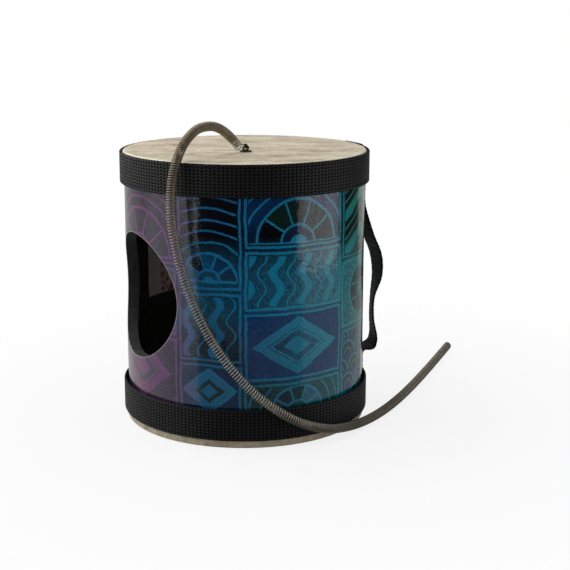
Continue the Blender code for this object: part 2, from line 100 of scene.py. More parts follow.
# The eye, its grommet and the spring
EYE_PLACE = (0.0010, -0.0200)
EYE_TOP = Vector((*EYE_PLACE, 0.1757))
EYE_AZIMUTH = 45.0
SPRING_DIAMETER = 0.0058
WIRE_RADIUS = 0.00043
HOOK_RADIUS = 0.0011
POINTS_PER_TURN = 18
CLOSE_PITCH = 0.00093
OPEN_PITCH = 0.00177
SPRING_ROUTE = [
    (-0.0028, -0.0233, 0.1751),
    (-0.0060, -0.0270, 0.1796),
    (-0.0094, -0.0330, 0.1840),
    (-0.0139, -0.0405, 0.1884),
    (-0.0191, -0.0482, 0.1908),
    (-0.0260, -0.0575, 0.1902),
    (-0.0313, -0.0653, 0.1861),
    (-0.0352, -0.0709, 0.1801),
    (-0.0388, -0.0756, 0.1701),
    (-0.0407, -0.0774, 0.1592),
    (-0.0412, -0.0780, 0.1441),
    (-0.0397, -0.0780, 0.1288),
    (-0.0366, -0.0782, 0.1138),
    (-0.0323, -0.0790, 0.0991),
    (-0.0267, -0.0805, 0.0849),
    (-0.0198, -0.0821, 0.0712),
    (-0.0116, -0.0834, 0.0583),
    (-0.0020, -0.0839, 0.0460),
    (0.0090, -0.0832, 0.0346),
    (0.0216, -0.0804, 0.0242),
    (0.0357, -0.0748, 0.0151),
    (0.0516, -0.0646, 0.0084),
    (0.0642, -0.0532, 0.0057),
    (0.0769, -0.0368, 0.0042),
    (0.0895, -0.0152, 0.0033),
    (0.1022, 0.0108, 0.0030),
    (0.1150, 0.0407, 0.0030),
    (0.1284, 0.0748, 0.0030),
    (0.1427, 0.1127, 0.0030),
    (0.1528, 0.1398, 0.0030),
]

# The camera stands where the photograph was taken from
CAMERA_PLACE = (0.0147, -0.7928, 0.2669)
CAMERA_PITCH = 11.75
CAMERA_LENS = 79.4
CAMERA_SHIFT = (0.03, -0.05)


def add_camera():
    data = bpy.data.cameras.new("camera")
    data.lens = CAMERA_LENS
    data.sensor_width = 36.0
    data.shift_x, data.shift_y = CAMERA_SHIFT
    camera = bpy.data.objects.new("camera", data)
    camera.location = CAMERA_PLACE
    camera.rotation_euler = (math.radians(90.0 - CAMERA_PITCH), 0.0, 0.0)
    bpy.context.scene.collection.objects.link(camera)
    bpy.context.scene.camera = camera


add_camera()


# Node helpers

class Sums:
    """Math nodes written as short sums."""

    def __init__(self, tree):
        self.tree = tree

    def node(self, operation, *values, clamp=False):
        made = self.tree.nodes.new("ShaderNodeMath")
        made.operation = operation
        made.use_clamp = clamp
        for socket, value in zip(made.inputs, values):
            if isinstance(value, bpy.types.NodeSocket):
                self.tree.links.new(value, socket)
            else:
                socket.default_value = value
        return made.outputs[0]

    def add(self, a, b):
        return self.node("ADD", a, b)

    def less(self, a, b):
        return self.node("SUBTRACT", a, b)

    def times(self, a, b):
        return self.node("MULTIPLY", a, b)

    def over(self, a, b):
        return self.node("DIVIDE", a, b)

    def size(self, a):
        return self.node("ABSOLUTE", a)

    def cell(self, a):
        return self.node("FRACT", a)

    def whole(self, a):
        return self.node("FLOOR", a)

    def most(self, a, b):
        return self.node("MAXIMUM", a, b)

    def least(self, a, b):
        return self.node("MINIMUM", a, b)

    def below(self, a, limit, soft):
        """1 where a is under the limit and 0 over it, with a soft step."""
        return self.node("DIVIDE", self.less(self.add(limit, soft / 2) if isinstance(limit, bpy.types.NodeSocket)
                                             else limit + soft / 2, a), soft, clamp=True)

    def line(self, a, width, soft):
        """1 where a is nearer to zero than half the width."""
        return self.below(self.size(a), width / 2, soft)

    def between(self, a, low, high, soft):
        return self.below(self.size(self.less(a, (low + high) / 2)), (high - low) / 2, soft)

    def odd(self, a):
        """1 for odd whole numbers and 0 for even ones."""
        return self.size(self.node("MODULO", a, 2.0))


def new_material(name, colour, roughness, metallic=0.0):
    made = bpy.data.materials.new(name)
    made.use_nodes = True
    shader = made.node_tree.nodes["Principled BSDF"]
    shader.inputs["Base Color"].default_value = (*colour, 1.0)
    shader.inputs["Roughness"].default_value = roughness
    shader.inputs["Metallic"].default_value = metallic
    return made, made.node_tree, shader


def object_place(tree):
    return tree.nodes.new("ShaderNodeTexCoord").outputs["Object"]


def stretched(tree, scale, turn=(0.0, 0.0, 0.0), place=None):
    """The place, turned and scaled apart along each axis."""
    made = tree.nodes.new("ShaderNodeMapping")
    made.inputs["Scale"].default_value = scale
    made.inputs["Rotation"].default_value = turn
    tree.links.new(place or object_place(tree), made.inputs["Vector"])
    return made.outputs[0]


def noise(tree, scale, detail=3.0, place=None, roughness=0.5):
    made = tree.nodes.new("ShaderNodeTexNoise")
    made.inputs["Scale"].default_value = scale
    made.inputs["Detail"].default_value = detail
    made.inputs["Roughness"].default_value = roughness
    tree.links.new(place or object_place(tree), made.inputs["Vector"])
    return made.outputs["Fac"]


def ramp(tree, value, stops, interpolation="LINEAR"):
    made = tree.nodes.new("ShaderNodeValToRGB")
    made.color_ramp.interpolation = interpolation
    tree.links.new(value, made.inputs["Fac"])
    made.color_ramp.elements.remove(made.color_ramp.elements[1])
    first = made.color_ramp.elements[0]
    first.position, first.color = stops[0][0], (*stops[0][1], 1.0)
    for position, colour in stops[1:]:
        stop = made.color_ramp.elements.new(position)
        stop.color = (*colour, 1.0)
    return made.outputs["Color"]


def mix(tree, share, first, second, blend="MIX"):
    made = tree.nodes.new("ShaderNodeMix")
    made.data_type = "RGBA"
    made.blend_type = blend
    for socket, value in zip((made.inputs[0], made.inputs[6], made.inputs[7]), (share, first, second)):
        if isinstance(value, bpy.types.NodeSocket):
            tree.links.new(value, socket)
        elif isinstance(value, tuple):
            socket.default_value = (*value, 1.0)
        else:
            socket.default_value = value
    return made.outputs[2]


def mix_value(sums, share, first, second):
    made = sums.tree.nodes.new("ShaderNodeMix")
    for socket, value in zip(made.inputs[:4], (share, None, first, second)):
        if value is not None:
            sums.tree.links.new(value, socket)
    return made.outputs[0]


def bump(tree, shader, height, distance, strength=1.0, socket="Normal"):
    made = tree.nodes.new("ShaderNodeBump")
    made.inputs["Distance"].default_value = distance
    made.inputs["Strength"].default_value = strength
    tree.links.new(height, made.inputs["Height"])
    tree.links.new(made.outputs["Normal"], shader.inputs[socket])


# Shared node groups

def new_group(name, inputs, outputs):
    group = bpy.data.node_groups.new(name, "ShaderNodeTree")
    for socket, kind, value in inputs:
        made = group.interface.new_socket(socket, in_out="INPUT", socket_type=kind)
        made.default_value = value
    for socket, kind in outputs:
        group.interface.new_socket(socket, in_out="OUTPUT", socket_type=kind)
    return group, group.nodes.new("NodeGroupInput"), group.nodes.new("NodeGroupOutput")


def drum_place_group():
    """The arc length round the printed tube and the height, both in millimetres, and the radius in millimetres."""
    group, _, result = new_group("drum_place", [], [("Arc", "NodeSocketFloat"), ("Height", "NodeSocketFloat"),
                                                    ("Radius", "NodeSocketFloat"), ("Turn", "NodeSocketFloat")])
    sums = Sums(group)
    split = group.nodes.new("ShaderNodeSeparateXYZ")
    group.links.new(object_place(group), split.inputs[0])
    x, y, z = split.outputs
    angle = sums.node("ARCTAN2", sums.times(y, -1.0), sums.times(x, -1.0))
    turn = sums.add(sums.over(angle, math.tau), 0.5)
    radius = sums.node("SQRT", sums.add(sums.times(x, x), sums.times(y, y)))
    group.links.new(sums.times(turn, math.tau * WRAP_RADIUS * 1000.0), result.inputs["Arc"])
    group.links.new(sums.times(z, 1000.0), result.inputs["Height"])
    group.links.new(sums.times(radius, 1000.0), result.inputs["Radius"])
    group.links.new(turn, result.inputs["Turn"])
    return group


def mottle_group():
    """Blotches with finer grain in them, from 0 to 1."""
    group, given, result = new_group(
        "mottle",
        [("Vector", "NodeSocketVector", (0.0, 0.0, 0.0)), ("Scale", "NodeSocketFloat", 50.0),
         ("Grain", "NodeSocketFloat", 0.35)],
        [("Value", "NodeSocketFloat")],
    )
    sums = Sums(group)
    coarse = group.nodes.new("ShaderNodeTexNoise")
    coarse.inputs["Detail"].default_value = 4.0
    fine = group.nodes.new("ShaderNodeTexNoise")
    fine.inputs["Detail"].default_value = 6.0
    for texture, factor in ((coarse, 1.0), (fine, 7.0)):
        group.links.new(given.outputs["Vector"], texture.inputs["Vector"])
        group.links.new(sums.times(given.outputs["Scale"], factor), texture.inputs["Scale"])
    grain = given.outputs["Grain"]
    whole = sums.add(sums.times(coarse.outputs["Fac"], sums.less(1.0, grain)), sums.times(fine.outputs["Fac"], grain))
    group.links.new(whole, result.inputs["Value"])
    return group


# The film's colours: grounds on the blue side and on the violet side, and inks round the tube
GROUNDS = [
    (0.00, (0.0012, 0.0010, 0.0042)), (0.16, (0.0010, 0.0150, 0.0125)), (0.30, (0.0010, 0.0260, 0.0950)),
    (0.45, (0.0020, 0.0020, 0.0080)), (0.58, (0.0050, 0.0100, 0.0240)), (0.72, (0.0010, 0.0140, 0.0440)),
    (0.86, (0.0012, 0.0200, 0.0170)),
]
VIOLET_GROUNDS = [
    (0.00, (0.0180, 0.0130, 0.0330)), (0.22, (0.0350, 0.0200, 0.0480)), (0.44, (0.0080, 0.0050, 0.0160)),
    (0.60, (0.0260, 0.0280, 0.0420)), (0.80, (0.0200, 0.0120, 0.0300)),
]
INKS = [
    (0.00, (0.003, 0.200, 0.130)), (0.12, (0.004, 0.210, 0.270)), (0.28, (0.012, 0.150, 0.350)),
    (0.36, (0.170, 0.030, 0.200)), (0.55, (0.300, 0.045, 0.170)), (0.62, (0.190, 0.030, 0.190)),
    (0.665, (0.150, 0.060, 0.270)), (0.69, (0.006, 0.170, 0.400)), (0.80, (0.005, 0.280, 0.490)),
    (0.89, (0.003, 0.330, 0.400)), (0.94, (0.003, 0.310, 0.200)),
]

DRUM_PLACE = drum_place_group()
MOTTLE = mottle_group()


def drum_place(tree):
    made = tree.nodes.new("ShaderNodeGroup")
    made.node_tree = DRUM_PLACE
    return made.outputs


def mottle(tree, scale, grain=0.35, place=None):
    made = tree.nodes.new("ShaderNodeGroup")
    made.node_tree = MOTTLE
    made.inputs["Scale"].default_value = scale
    made.inputs["Grain"].default_value = grain
    tree.links.new(place or object_place(tree), made.inputs["Vector"])
    return made.outputs["Value"]


# The printed film: a patchwork of hand-drawn blocks, in millimetres round the tube and up it

# Each column of blocks as (where it starts, which stack of blocks it holds, the number of its first block)
PRINT_COLUMNS = [
    (0.0, 0, 0), (57.0, 1, 4), (98.0, 2, 1), (163.0, 0, 5), (203.0, 1, 2), (252.0, 2, 4), (318.0, 0, 3), (359.0, 1, 0),
    (427.0, 2, 2), (478.8, 0, 0),
]
# The heights at which the blocks of each stack start
PRINT_STACKS = [(18.0, 52.0, 96.0, 156.0), (18.0, 41.0, 84.0, 121.0, 156.0), (18.0, 66.0, 109.0, 156.0)]
MOTIFS = 6
# Where the film's end laps over its start, at the back, in millimetres round the drum from its right side
FILM_LAP = 98.0


def steps_of(sums, value, table):
    """A vector that changes from row to row of a table of (where the row starts, x, y, z)."""
    tree = sums.tree
    found = table[0][1:]
    for before, row in zip(table, table[1:]):
        made = tree.nodes.new("ShaderNodeVectorMath")
        made.operation = "MULTIPLY_ADD"
        tree.links.new(sums.node("GREATER_THAN", value, row[0]), made.inputs[0])
        made.inputs[1].default_value = tuple(new - old for new, old in zip(row[1:], before[1:]))
        if isinstance(found, tuple):
            made.inputs[2].default_value = found
        else:
            tree.links.new(found, made.inputs[2])
        found = made.outputs[0]
    split = tree.nodes.new("ShaderNodeSeparateXYZ")
    tree.links.new(found, split.inputs[0])
    return split.outputs


def spans(starts, numbers):
    """Rows of (start, middle, half the width, number) for stretches that follow on each other."""
    return [(low, (low + high) / 2, (high - low) / 2, number) for low, high, number in zip(starts, starts[1:], numbers)]


def scatter(sums, number, seed):
    """A number from 0 to 1 that differs from one whole number to the next."""
    return sums.cell(sums.times(sums.node("SINE", sums.add(sums.times(number, 12.99), seed)), 437.6))


class Print:
    """The film's drawing: pencilled lines, flat fills and the ground under them."""

    SOFT = 0.35

    def __init__(self, sums):
        self.sums = sums
        self.line = 0.0
        self.fill = 0.0
        self.patch = 0.0

    def stroke(self, distance, width, mask):
        drawn = self.sums.times(self.sums.line(distance, width, self.SOFT), mask)
        self.line = self.sums.most(self.line, drawn)

    def flood(self, inside, mask):
        drawn = self.sums.times(self.sums.below(inside, 0.0, self.SOFT), mask)
        self.fill = self.sums.most(self.fill, drawn)

    def tint(self, number, mask):
        """Moves the ground's number where the mask is 1."""
        self.patch = self.sums.add(self.patch, self.sums.times(number, mask))


def is_motif(sums, motif, number):
    return sums.less(1.0, sums.node("GREATER_THAN", sums.size(sums.less(motif, number)), 0.5))


def draw_blocks(drawing, u, v, a, b, motif):
    """Draws each block's motif. U and v run from the block's middle, a and b are half its width and height."""
    sums = drawing.sums
    inside = sums.least(sums.less(a, sums.size(u)), sums.less(b, sums.size(v)))
    inner = sums.below(sums.less(0.0, inside), -3.4, 0.3)
    reach = sums.node("SQRT", sums.add(sums.times(u, u), sums.times(v, v)))
    small = sums.least(a, b)

    here = sums.times(is_motif(sums, motif, 0.0), inner)
    ring = sums.less(reach, sums.times(small, 0.72))
    drawing.stroke(ring, 1.5, here)
    drawing.stroke(sums.less(reach, sums.times(small, 0.22)), 1.2, here)
    within = sums.times(here, sums.below(ring, -2.0, 0.3))
    drawing.stroke(sums.less(sums.least(sums.size(u), sums.size(v)), sums.times(small, 0.22)), 1.2, within)
    drawing.tint(0.37, sums.times(here, sums.below(ring, 0.0, 0.3)))
    drawing.flood(sums.less(reach, sums.times(small, 0.16)), here)

    here = sums.times(is_motif(sums, motif, 1.0), inner)
    y = sums.add(v, sums.times(b, 0.80))
    reach = sums.node("SQRT", sums.add(sums.times(u, u), sums.times(y, y)))
    full = sums.least(sums.times(a, 0.84), sums.times(b, 1.5))
    above = sums.times(here, sums.below(sums.less(0.0, y), 0.0, 0.3))
    drawing.stroke(sums.less(reach, full), 1.6, above)
    drawing.stroke(sums.less(reach, sums.times(full, 0.42)), 1.4, above)
    drawing.stroke(y, 1.6, here)
    beyond = sums.less(reach, sums.add(full, 3.5))
    ripple = sums.times(sums.less(sums.cell(sums.over(beyond, 6.6)), 0.5), 6.6)
    outer = sums.times(here, sums.node("GREATER_THAN", beyond, 0.0))
    drawing.stroke(ripple, 1.2, sums.times(outer, sums.below(sums.less(0.0, y), 0.0, 0.3)))
    angle = sums.over(sums.node("ARCTAN2", y, u), math.pi)
    spoke = sums.less(sums.cell(sums.times(angle, 5.0)), 0.5)
    arc = sums.less(sums.times(sums.size(spoke), sums.times(reach, math.pi / 5.0)), sums.times(reach, math.pi / 10.0))
    fan = sums.times(above, sums.below(sums.size(sums.less(reach, sums.times(full, 0.71))), sums.times(full, 0.29), 0.3))
    drawing.stroke(arc, 1.3, fan)
    drawing.tint(scatter(sums, sums.whole(sums.times(angle, 5.0)), 1.0), fan)
    drawing.flood(sums.less(reach, sums.times(full, 0.20)), above)

    here = sums.times(is_motif(sums, motif, 2.0), inner)
    climb = sums.over(sums.add(v, sums.times(sums.size(u), 0.62)), 11.5)
    part = sums.times(sums.less(sums.cell(climb), 0.5), 9.8)
    turned = sums.odd(sums.whole(climb))
    drawing.flood(sums.less(sums.size(part), 2.9), sums.times(here, turned))
    drawing.stroke(sums.less(sums.size(part), 2.7), 1.2, sums.times(here, sums.less(1.0, turned)))
    drawing.tint(0.21, sums.times(here, turned))

    here = sums.times(is_motif(sums, motif, 3.0), inner)
    across = sums.over(sums.times(a, b), sums.node("SQRT", sums.add(sums.times(a, a), sums.times(b, b))))
    slope = sums.add(sums.over(sums.size(u), a), sums.over(sums.size(v), b))
    for size, width in ((0.80, 1.6), (0.50, 1.3)):
        drawing.stroke(sums.times(sums.less(slope, size), across), width, here)
    drawing.flood(sums.less(sums.times(sums.size(sums.less(slope, 0.66)), across), 1.6), here)
    drawing.tint(0.45, sums.times(here, sums.below(sums.times(sums.less(slope, 0.80), across), 0.0, 0.3)))
    drawing.flood(sums.times(sums.less(slope, 0.27), across), here)

    here = sums.times(is_motif(sums, motif, 4.0), inner)
    up = sums.over(sums.add(v, b), 10.4)
    level = sums.whole(up)
    x = sums.times(sums.less(sums.cell(sums.add(sums.over(u, 17.0), sums.times(sums.odd(level), 0.5))), 0.5), 17.0)
    y = sums.times(sums.cell(up), 10.4)
    reach = sums.node("SQRT", sums.add(sums.times(x, x), sums.times(y, y)))
    drawing.stroke(sums.less(reach, 8.2), 1.2, here)
    drawing.stroke(sums.less(reach, 4.0), 1.0, here)
    drawing.tint(0.29, sums.times(here, sums.below(reach, 8.2, 0.3)))

    here = sums.times(is_motif(sums, motif, 5.0), inner)
    sway = sums.times(sums.node("SINE", sums.times(v, math.tau / 19.0)), 2.6)
    lane = sums.over(sums.add(u, sway), 9.0)
    x = sums.times(sums.less(sums.cell(lane), 0.5), 9.0)
    drawing.stroke(x, 1.2, sums.times(here, sums.odd(sums.whole(lane))))
    drawing.flood(sums.less(sums.size(x), 2.5), sums.times(here, sums.less(1.0, sums.odd(sums.whole(lane)))))

    drawing.stroke(sums.less(inside, 1.7), 1.5, 1.0)


def film_material():
    made, tree, shader = new_material("printed_film", (0.02, 0.05, 0.09), 0.30)
    shader.inputs["Specular IOR Level"].default_value = 0.08
    shader.inputs["Coat Weight"].default_value = 1.0
    shader.inputs["Coat Roughness"].default_value = 0.06
    sums = Sums(tree)
    place = drum_place(tree)
    slow = sums.times(sums.less(noise(tree, 60.0, 1.0), 0.5), 2.6)
    slow_up = sums.times(sums.less(noise(tree, 62.0, 1.0, stretched(tree, (1.0, 1.0, 1.3), (0.4, 0.2, 0.0))), 0.5), 2.6)
    quick = sums.times(sums.less(noise(tree, 480.0, 2.0), 0.5), 0.8)
    s = sums.add(sums.add(place["Arc"], slow), quick)
    h = sums.add(sums.add(place["Height"], slow_up), quick)
    starts, stacks, firsts = zip(*PRINT_COLUMNS)
    middle, a, column = steps_of(sums, s, spans(starts, range(len(starts) - 1)))
    stack, first, _ = steps_of(sums, column, [(n - 0.5, stacks[n], firsts[n], 0.0) for n in range(len(stacks) - 1)])
    rows = [steps_of(sums, h, spans(heights, range(len(heights) - 1))) for heights in PRINT_STACKS]
    chosen = []
    for which in range(3):
        later = mix_value(sums, sums.node("GREATER_THAN", stack, 1.5), rows[1][which], rows[2][which])
        chosen.append(mix_value(sums, sums.node("GREATER_THAN", stack, 0.5), rows[0][which], later))
    level, b, row = chosen
    motif = sums.node("MODULO", sums.add(first, sums.times(row, 2.0)), float(MOTIFS))
    motif = sums.node("FLOOR", sums.add(sums.node("MODULO", sums.add(motif, sums.times(column, 1.0)), float(MOTIFS)), 0.5))
    drawing = Print(sums)
    number = sums.add(sums.times(column, 3.0), row)
    drawing.tint(scatter(sums, number, 5.0), 1.0)
    draw_blocks(drawing, sums.less(s, middle), sums.less(h, level), a, b, motif)

    flat = tree.nodes.new("ShaderNodeCombineXYZ")
    tree.links.new(place["Arc"], flat.inputs[0])
    tree.links.new(place["Height"], flat.inputs[1])
    leaning = stretched(tree, (1.0, 1.0, 1.0), (0.0, 0.0, 0.85), flat.outputs[0])
    strokes = noise(tree, 1.0, 5.0, stretched(tree, (0.30, 1.4, 1.0), (0.0, 0.0, 0.0), leaning), 0.6)
    specks = noise(tree, 2.6, 4.0, flat.outputs[0], 0.65)
    blots = noise(tree, 0.07, 2.0, flat.outputs[0])
    hatch = sums.add(sums.times(strokes, 0.45), sums.times(specks, 0.55))
    grain = sums.node("MULTIPLY_ADD", sums.less(hatch, 0.5), 3.6, 0.5, clamp=True)

    turn = place["Turn"]
    ground = ramp(tree, sums.cell(drawing.patch), GROUNDS, "CONSTANT")
    violet = ramp(tree, sums.cell(drawing.patch), VIOLET_GROUNDS, "CONSTANT")
    side = sums.add(turn, sums.times(sums.less(blots, 0.5), 0.10))
    thin = sums.node("MULTIPLY", sums.node("MULTIPLY_ADD", sums.less(side, 0.36), 30.0, 0.5, clamp=True),
                     sums.node("MULTIPLY_ADD", sums.less(0.665, side), 45.0, 0.5, clamp=True))
    wash = ramp(tree, turn, [(0.66, (0.001, 0.070, 0.105)), (0.75, (0.001, 0.050, 0.105)),
                             (0.80, (0.001, 0.085, 0.140)), (0.84, (0.002, 0.120, 0.185)),
                             (0.90, (0.003, 0.160, 0.200)), (0.97, (0.004, 0.220, 0.220))])
    cells = ramp(tree, sums.cell(sums.times(drawing.patch, 3.7)), [
        (0.0, (0.25, 0.25, 0.30)), (0.22, (1.55, 1.50, 1.45)), (0.45, (0.70, 0.75, 0.80)), (0.65, (1.50, 1.45, 1.50)),
        (0.85, (0.45, 0.50, 0.50)),
    ], "CONSTANT")
    wash = mix(tree, 1.0, wash, cells, "MULTIPLY")
    facing = sums.node("MULTIPLY_ADD", turn, -20.0, 16.5, clamp=True)
    lower = sums.times(sums.node("MULTIPLY_ADD", place["Height"], -0.06, 5.0, clamp=True), sums.add(0.25, sums.times(facing, 0.45)))
    lifted = sums.times(sums.node("MULTIPLY_ADD", place["Height"], -0.05, 6.45, clamp=True), sums.less(1.0, lower))
    lifted = sums.times(lifted, grain)
    shade = ramp(tree, sums.over(place["Height"], HEIGHT * 1000.0),
                 [(0.62, (1.0, 1.0, 1.0)), (0.70, (0.35, 0.35, 0.35)), (0.76, (0.40, 0.40, 0.40)), (0.80, (0.80, 0.80, 0.80))])
    ground = mix(tree, 1.0, ground, shade, "MULTIPLY")
    ground = mix(tree, lifted, ground, mix(tree, 1.0, ground, wash, "ADD"))
    ground = mix(tree, thin, ground, violet)
    ink = ramp(tree, sums.add(turn, sums.times(sums.less(blots, 0.5), 0.04)), INKS)
    low = sums.node("MULTIPLY_ADD", place["Height"], -0.02, 1.5, clamp=True)
    ink = mix(tree, sums.times(low, 0.45), ink, mix(tree, 1.0, ink, (0.75, 0.80, 0.65), "MULTIPLY"))
    dull = sums.times(sums.node("MULTIPLY_ADD", place["Height"], -0.05, 4.35, clamp=True),
                      sums.node("MULTIPLY_ADD", turn, -20.0, 17.2, clamp=True))
    ink = mix(tree, sums.times(dull, sums.less(1.0, thin)), ink, mix(tree, 1.0, ink, (1.15, 0.80, 0.78), "MULTIPLY"))
    ground = mix(tree, 1.0, ground, ramp(tree, grain, [(0.0, (0.25, 0.25, 0.25)), (1.0, (2.0, 2.0, 2.0))]), "MULTIPLY")
    filled = sums.times(drawing.fill, sums.add(0.55, sums.times(grain, 0.45)))
    body = mix(tree, filled, ground, mix(tree, 1.0, ink, (0.85, 0.85, 0.85), "MULTIPLY"))
    pencil = sums.times(drawing.line, sums.add(0.30, sums.times(grain, 0.70)))
    colour = mix(tree, pencil, body, ink)

    lap = sums.less(place["Arc"], FILM_LAP)
    # Painted shadow in a strip just past the film's lapped end; the next line paints its pale cut edge.
    colour = mix(tree, sums.times(sums.below(sums.size(sums.less(lap, 0.9)), 0.6, 0.4), 0.7), colour, (0.002, 0.002, 0.003))
    colour = mix(tree, sums.below(sums.size(lap), 0.22, 0.10), colour, (0.24, 0.24, 0.26))
    angle = math.radians(SOUND_HOLE_AZIMUTH)
    split = tree.nodes.new("ShaderNodeSeparateXYZ")
    tree.links.new(object_place(tree), split.inputs[0])
    x, y, z = split.outputs
    aside = sums.less(sums.times(y, math.cos(angle)), sums.times(x, math.sin(angle)))
    ahead = sums.add(sums.times(x, math.cos(angle)), sums.times(y, math.sin(angle)))
    above = sums.less(z, SOUND_HOLE_HEIGHT)
    from_hole = sums.node("SQRT", sums.add(sums.times(aside, aside), sums.times(above, above)))
    border = sums.times(sums.below(from_hole, SOUND_HOLE_RADIUS + 0.00035, 0.0002), sums.node("GREATER_THAN", ahead, 0.0))
    colour = mix(tree, border, colour, (0.30, 0.28, 0.31))
    tree.links.new(colour, shader.inputs["Base Color"])
    waves = sums.add(sums.times(noise(tree, 38.0, 2.0), 0.8), sums.times(noise(tree, 620.0, 2.0), 0.12))
    waves = sums.add(waves, sums.times(noise(tree, 170.0, 1.0), 0.25))
    bump(tree, shader, waves, 0.0006, 0.30)
    ripples = sums.add(noise(tree, 45.0, 1.0), sums.times(noise(tree, 260.0, 3.0), 0.5))
    bump(tree, shader, ripples, 0.00022, 1.0, "Coat Normal")
    tree.links.new(sums.node("MULTIPLY_ADD", noise(tree, 900.0, 2.0), 0.8, 1.12), shader.inputs["Coat IOR"])
    return made


def webbing_material():
    """Black yarn: painted shade and less gloss down between the yarns, with a faint gloss on them and fine filaments
    along them.
    """
    made, tree, shader = new_material("black_webbing", (0.006, 0.006, 0.006), 0.46)
    sums = Sums(tree)
    weave = tree.nodes.new("ShaderNodeAttribute")
    weave.attribute_name = "weave"
    filament = noise(tree, 2600.0, 3.0)
    height = sums.add(sums.times(weave.outputs["Fac"], 0.8), sums.times(filament, 0.35))
    # Painted shade: the yarn's colour darkens down between the yarns and is lightest on their tops.
    colour = ramp(tree, height, [(0.20, (0.0042, 0.0041, 0.0041)), (0.62, (0.0046, 0.0045, 0.0046)),
                                 (1.00, (0.0066, 0.0066, 0.0070))])
    tree.links.new(colour, shader.inputs["Base Color"])
    gloss = sums.node("MULTIPLY_ADD", height, 0.66, -0.21, clamp=True)
    tree.links.new(gloss, shader.inputs["Specular IOR Level"])
    bump(tree, shader, filament, 0.00015, 0.6)
    return made


def skin_material():
    """Hide-like head: cream, with darker, greener and pinker clouds, long fibres, scratches and a few specks."""
    made, tree, shader = new_material("head_skin", (0.60, 0.53, 0.39), 0.55)
    sums = Sums(tree)
    clouds = mottle(tree, 46.0, 0.34, stretched(tree, (0.75, 1.35, 1.0), (0.0, 0.0, 0.2)))
    fibres = noise(tree, 1.0, 6.0, stretched(tree, (150.0, 420.0, 200.0), (0.0, 0.0, 0.12)), 0.65)
    more = noise(tree, 1.0, 5.0, stretched(tree, (380.0, 140.0, 200.0), (0.0, 0.0, 0.9)), 0.6)
    blend = sums.add(sums.times(clouds, 0.76), sums.add(sums.times(fibres, 0.12), sums.times(more, 0.12)))
    colour = ramp(tree, blend, [(0.36, (0.285, 0.232, 0.158)), (0.43, (0.480, 0.402, 0.292)),
                                (0.50, (0.630, 0.542, 0.415)), (0.60, (0.790, 0.705, 0.570))])
    hue = noise(tree, 22.0, 2.0, stretched(tree, (1.0, 1.3, 1.0), (0.0, 0.0, 1.1)))
    tone = ramp(tree, hue, [(0.36, (0.965, 1.00, 0.92)), (0.50, (1.0, 1.0, 0.98)), (0.64, (1.00, 0.96, 0.94))])
    colour = mix(tree, 1.0, colour, tone, "MULTIPLY")
    scratch = noise(tree, 1.0, 2.0, stretched(tree, (60.0, 900.0, 200.0), (0.0, 0.0, -0.5)), 0.5)
    scratched = sums.times(sums.below(scratch, 0.30, 0.04), sums.below(noise(tree, 30.0, 1.0), 0.44, 0.08))
    specks = sums.below(noise(tree, 520.0, 1.0), 0.26, 0.04)
    colour = mix(tree, sums.most(sums.times(specks, 0.35), sums.times(scratched, 0.55)), colour, (0.17, 0.14, 0.09))
    place = drum_place(tree)
    # The top head's rounded edge is lighter: partly its paler raw edge, partly a painted highlight.
    rim = sums.times(sums.below(sums.less(0.0, place["Radius"]), -75.2, 0.5), sums.node("GREATER_THAN", place["Height"], 150.0))
    colour = mix(tree, sums.times(rim, 0.45), colour, (0.95, 0.90, 0.78))
    # Painted shade on the bottom head, below 20 mm.
    colour = mix(tree, sums.below(place["Height"], 20.0, 2.0), colour, mix(tree, 1.0, colour, (0.80, 0.79, 0.75), "MULTIPLY"))
    tree.links.new(colour, shader.inputs["Base Color"])
    bump(tree, shader, sums.add(fibres, sums.times(more, 0.6)), 0.0004, 0.35)
    return made


def metal_material(name, colour, roughness, dulled=0.55):
    made, tree, shader = new_material(name, colour, roughness, 1.0)
    sums = Sums(tree)
    tarnish = mottle(tree, 240.0, 0.5)
    dark = tuple(share * dulled for share in colour)
    tree.links.new(ramp(tree, tarnish, [(0.35, dark), (0.62, colour)]), shader.inputs["Base Color"])
    tree.links.new(sums.add(roughness - 0.10, sums.times(tarnish, 0.22)), shader.inputs["Roughness"])
    return made


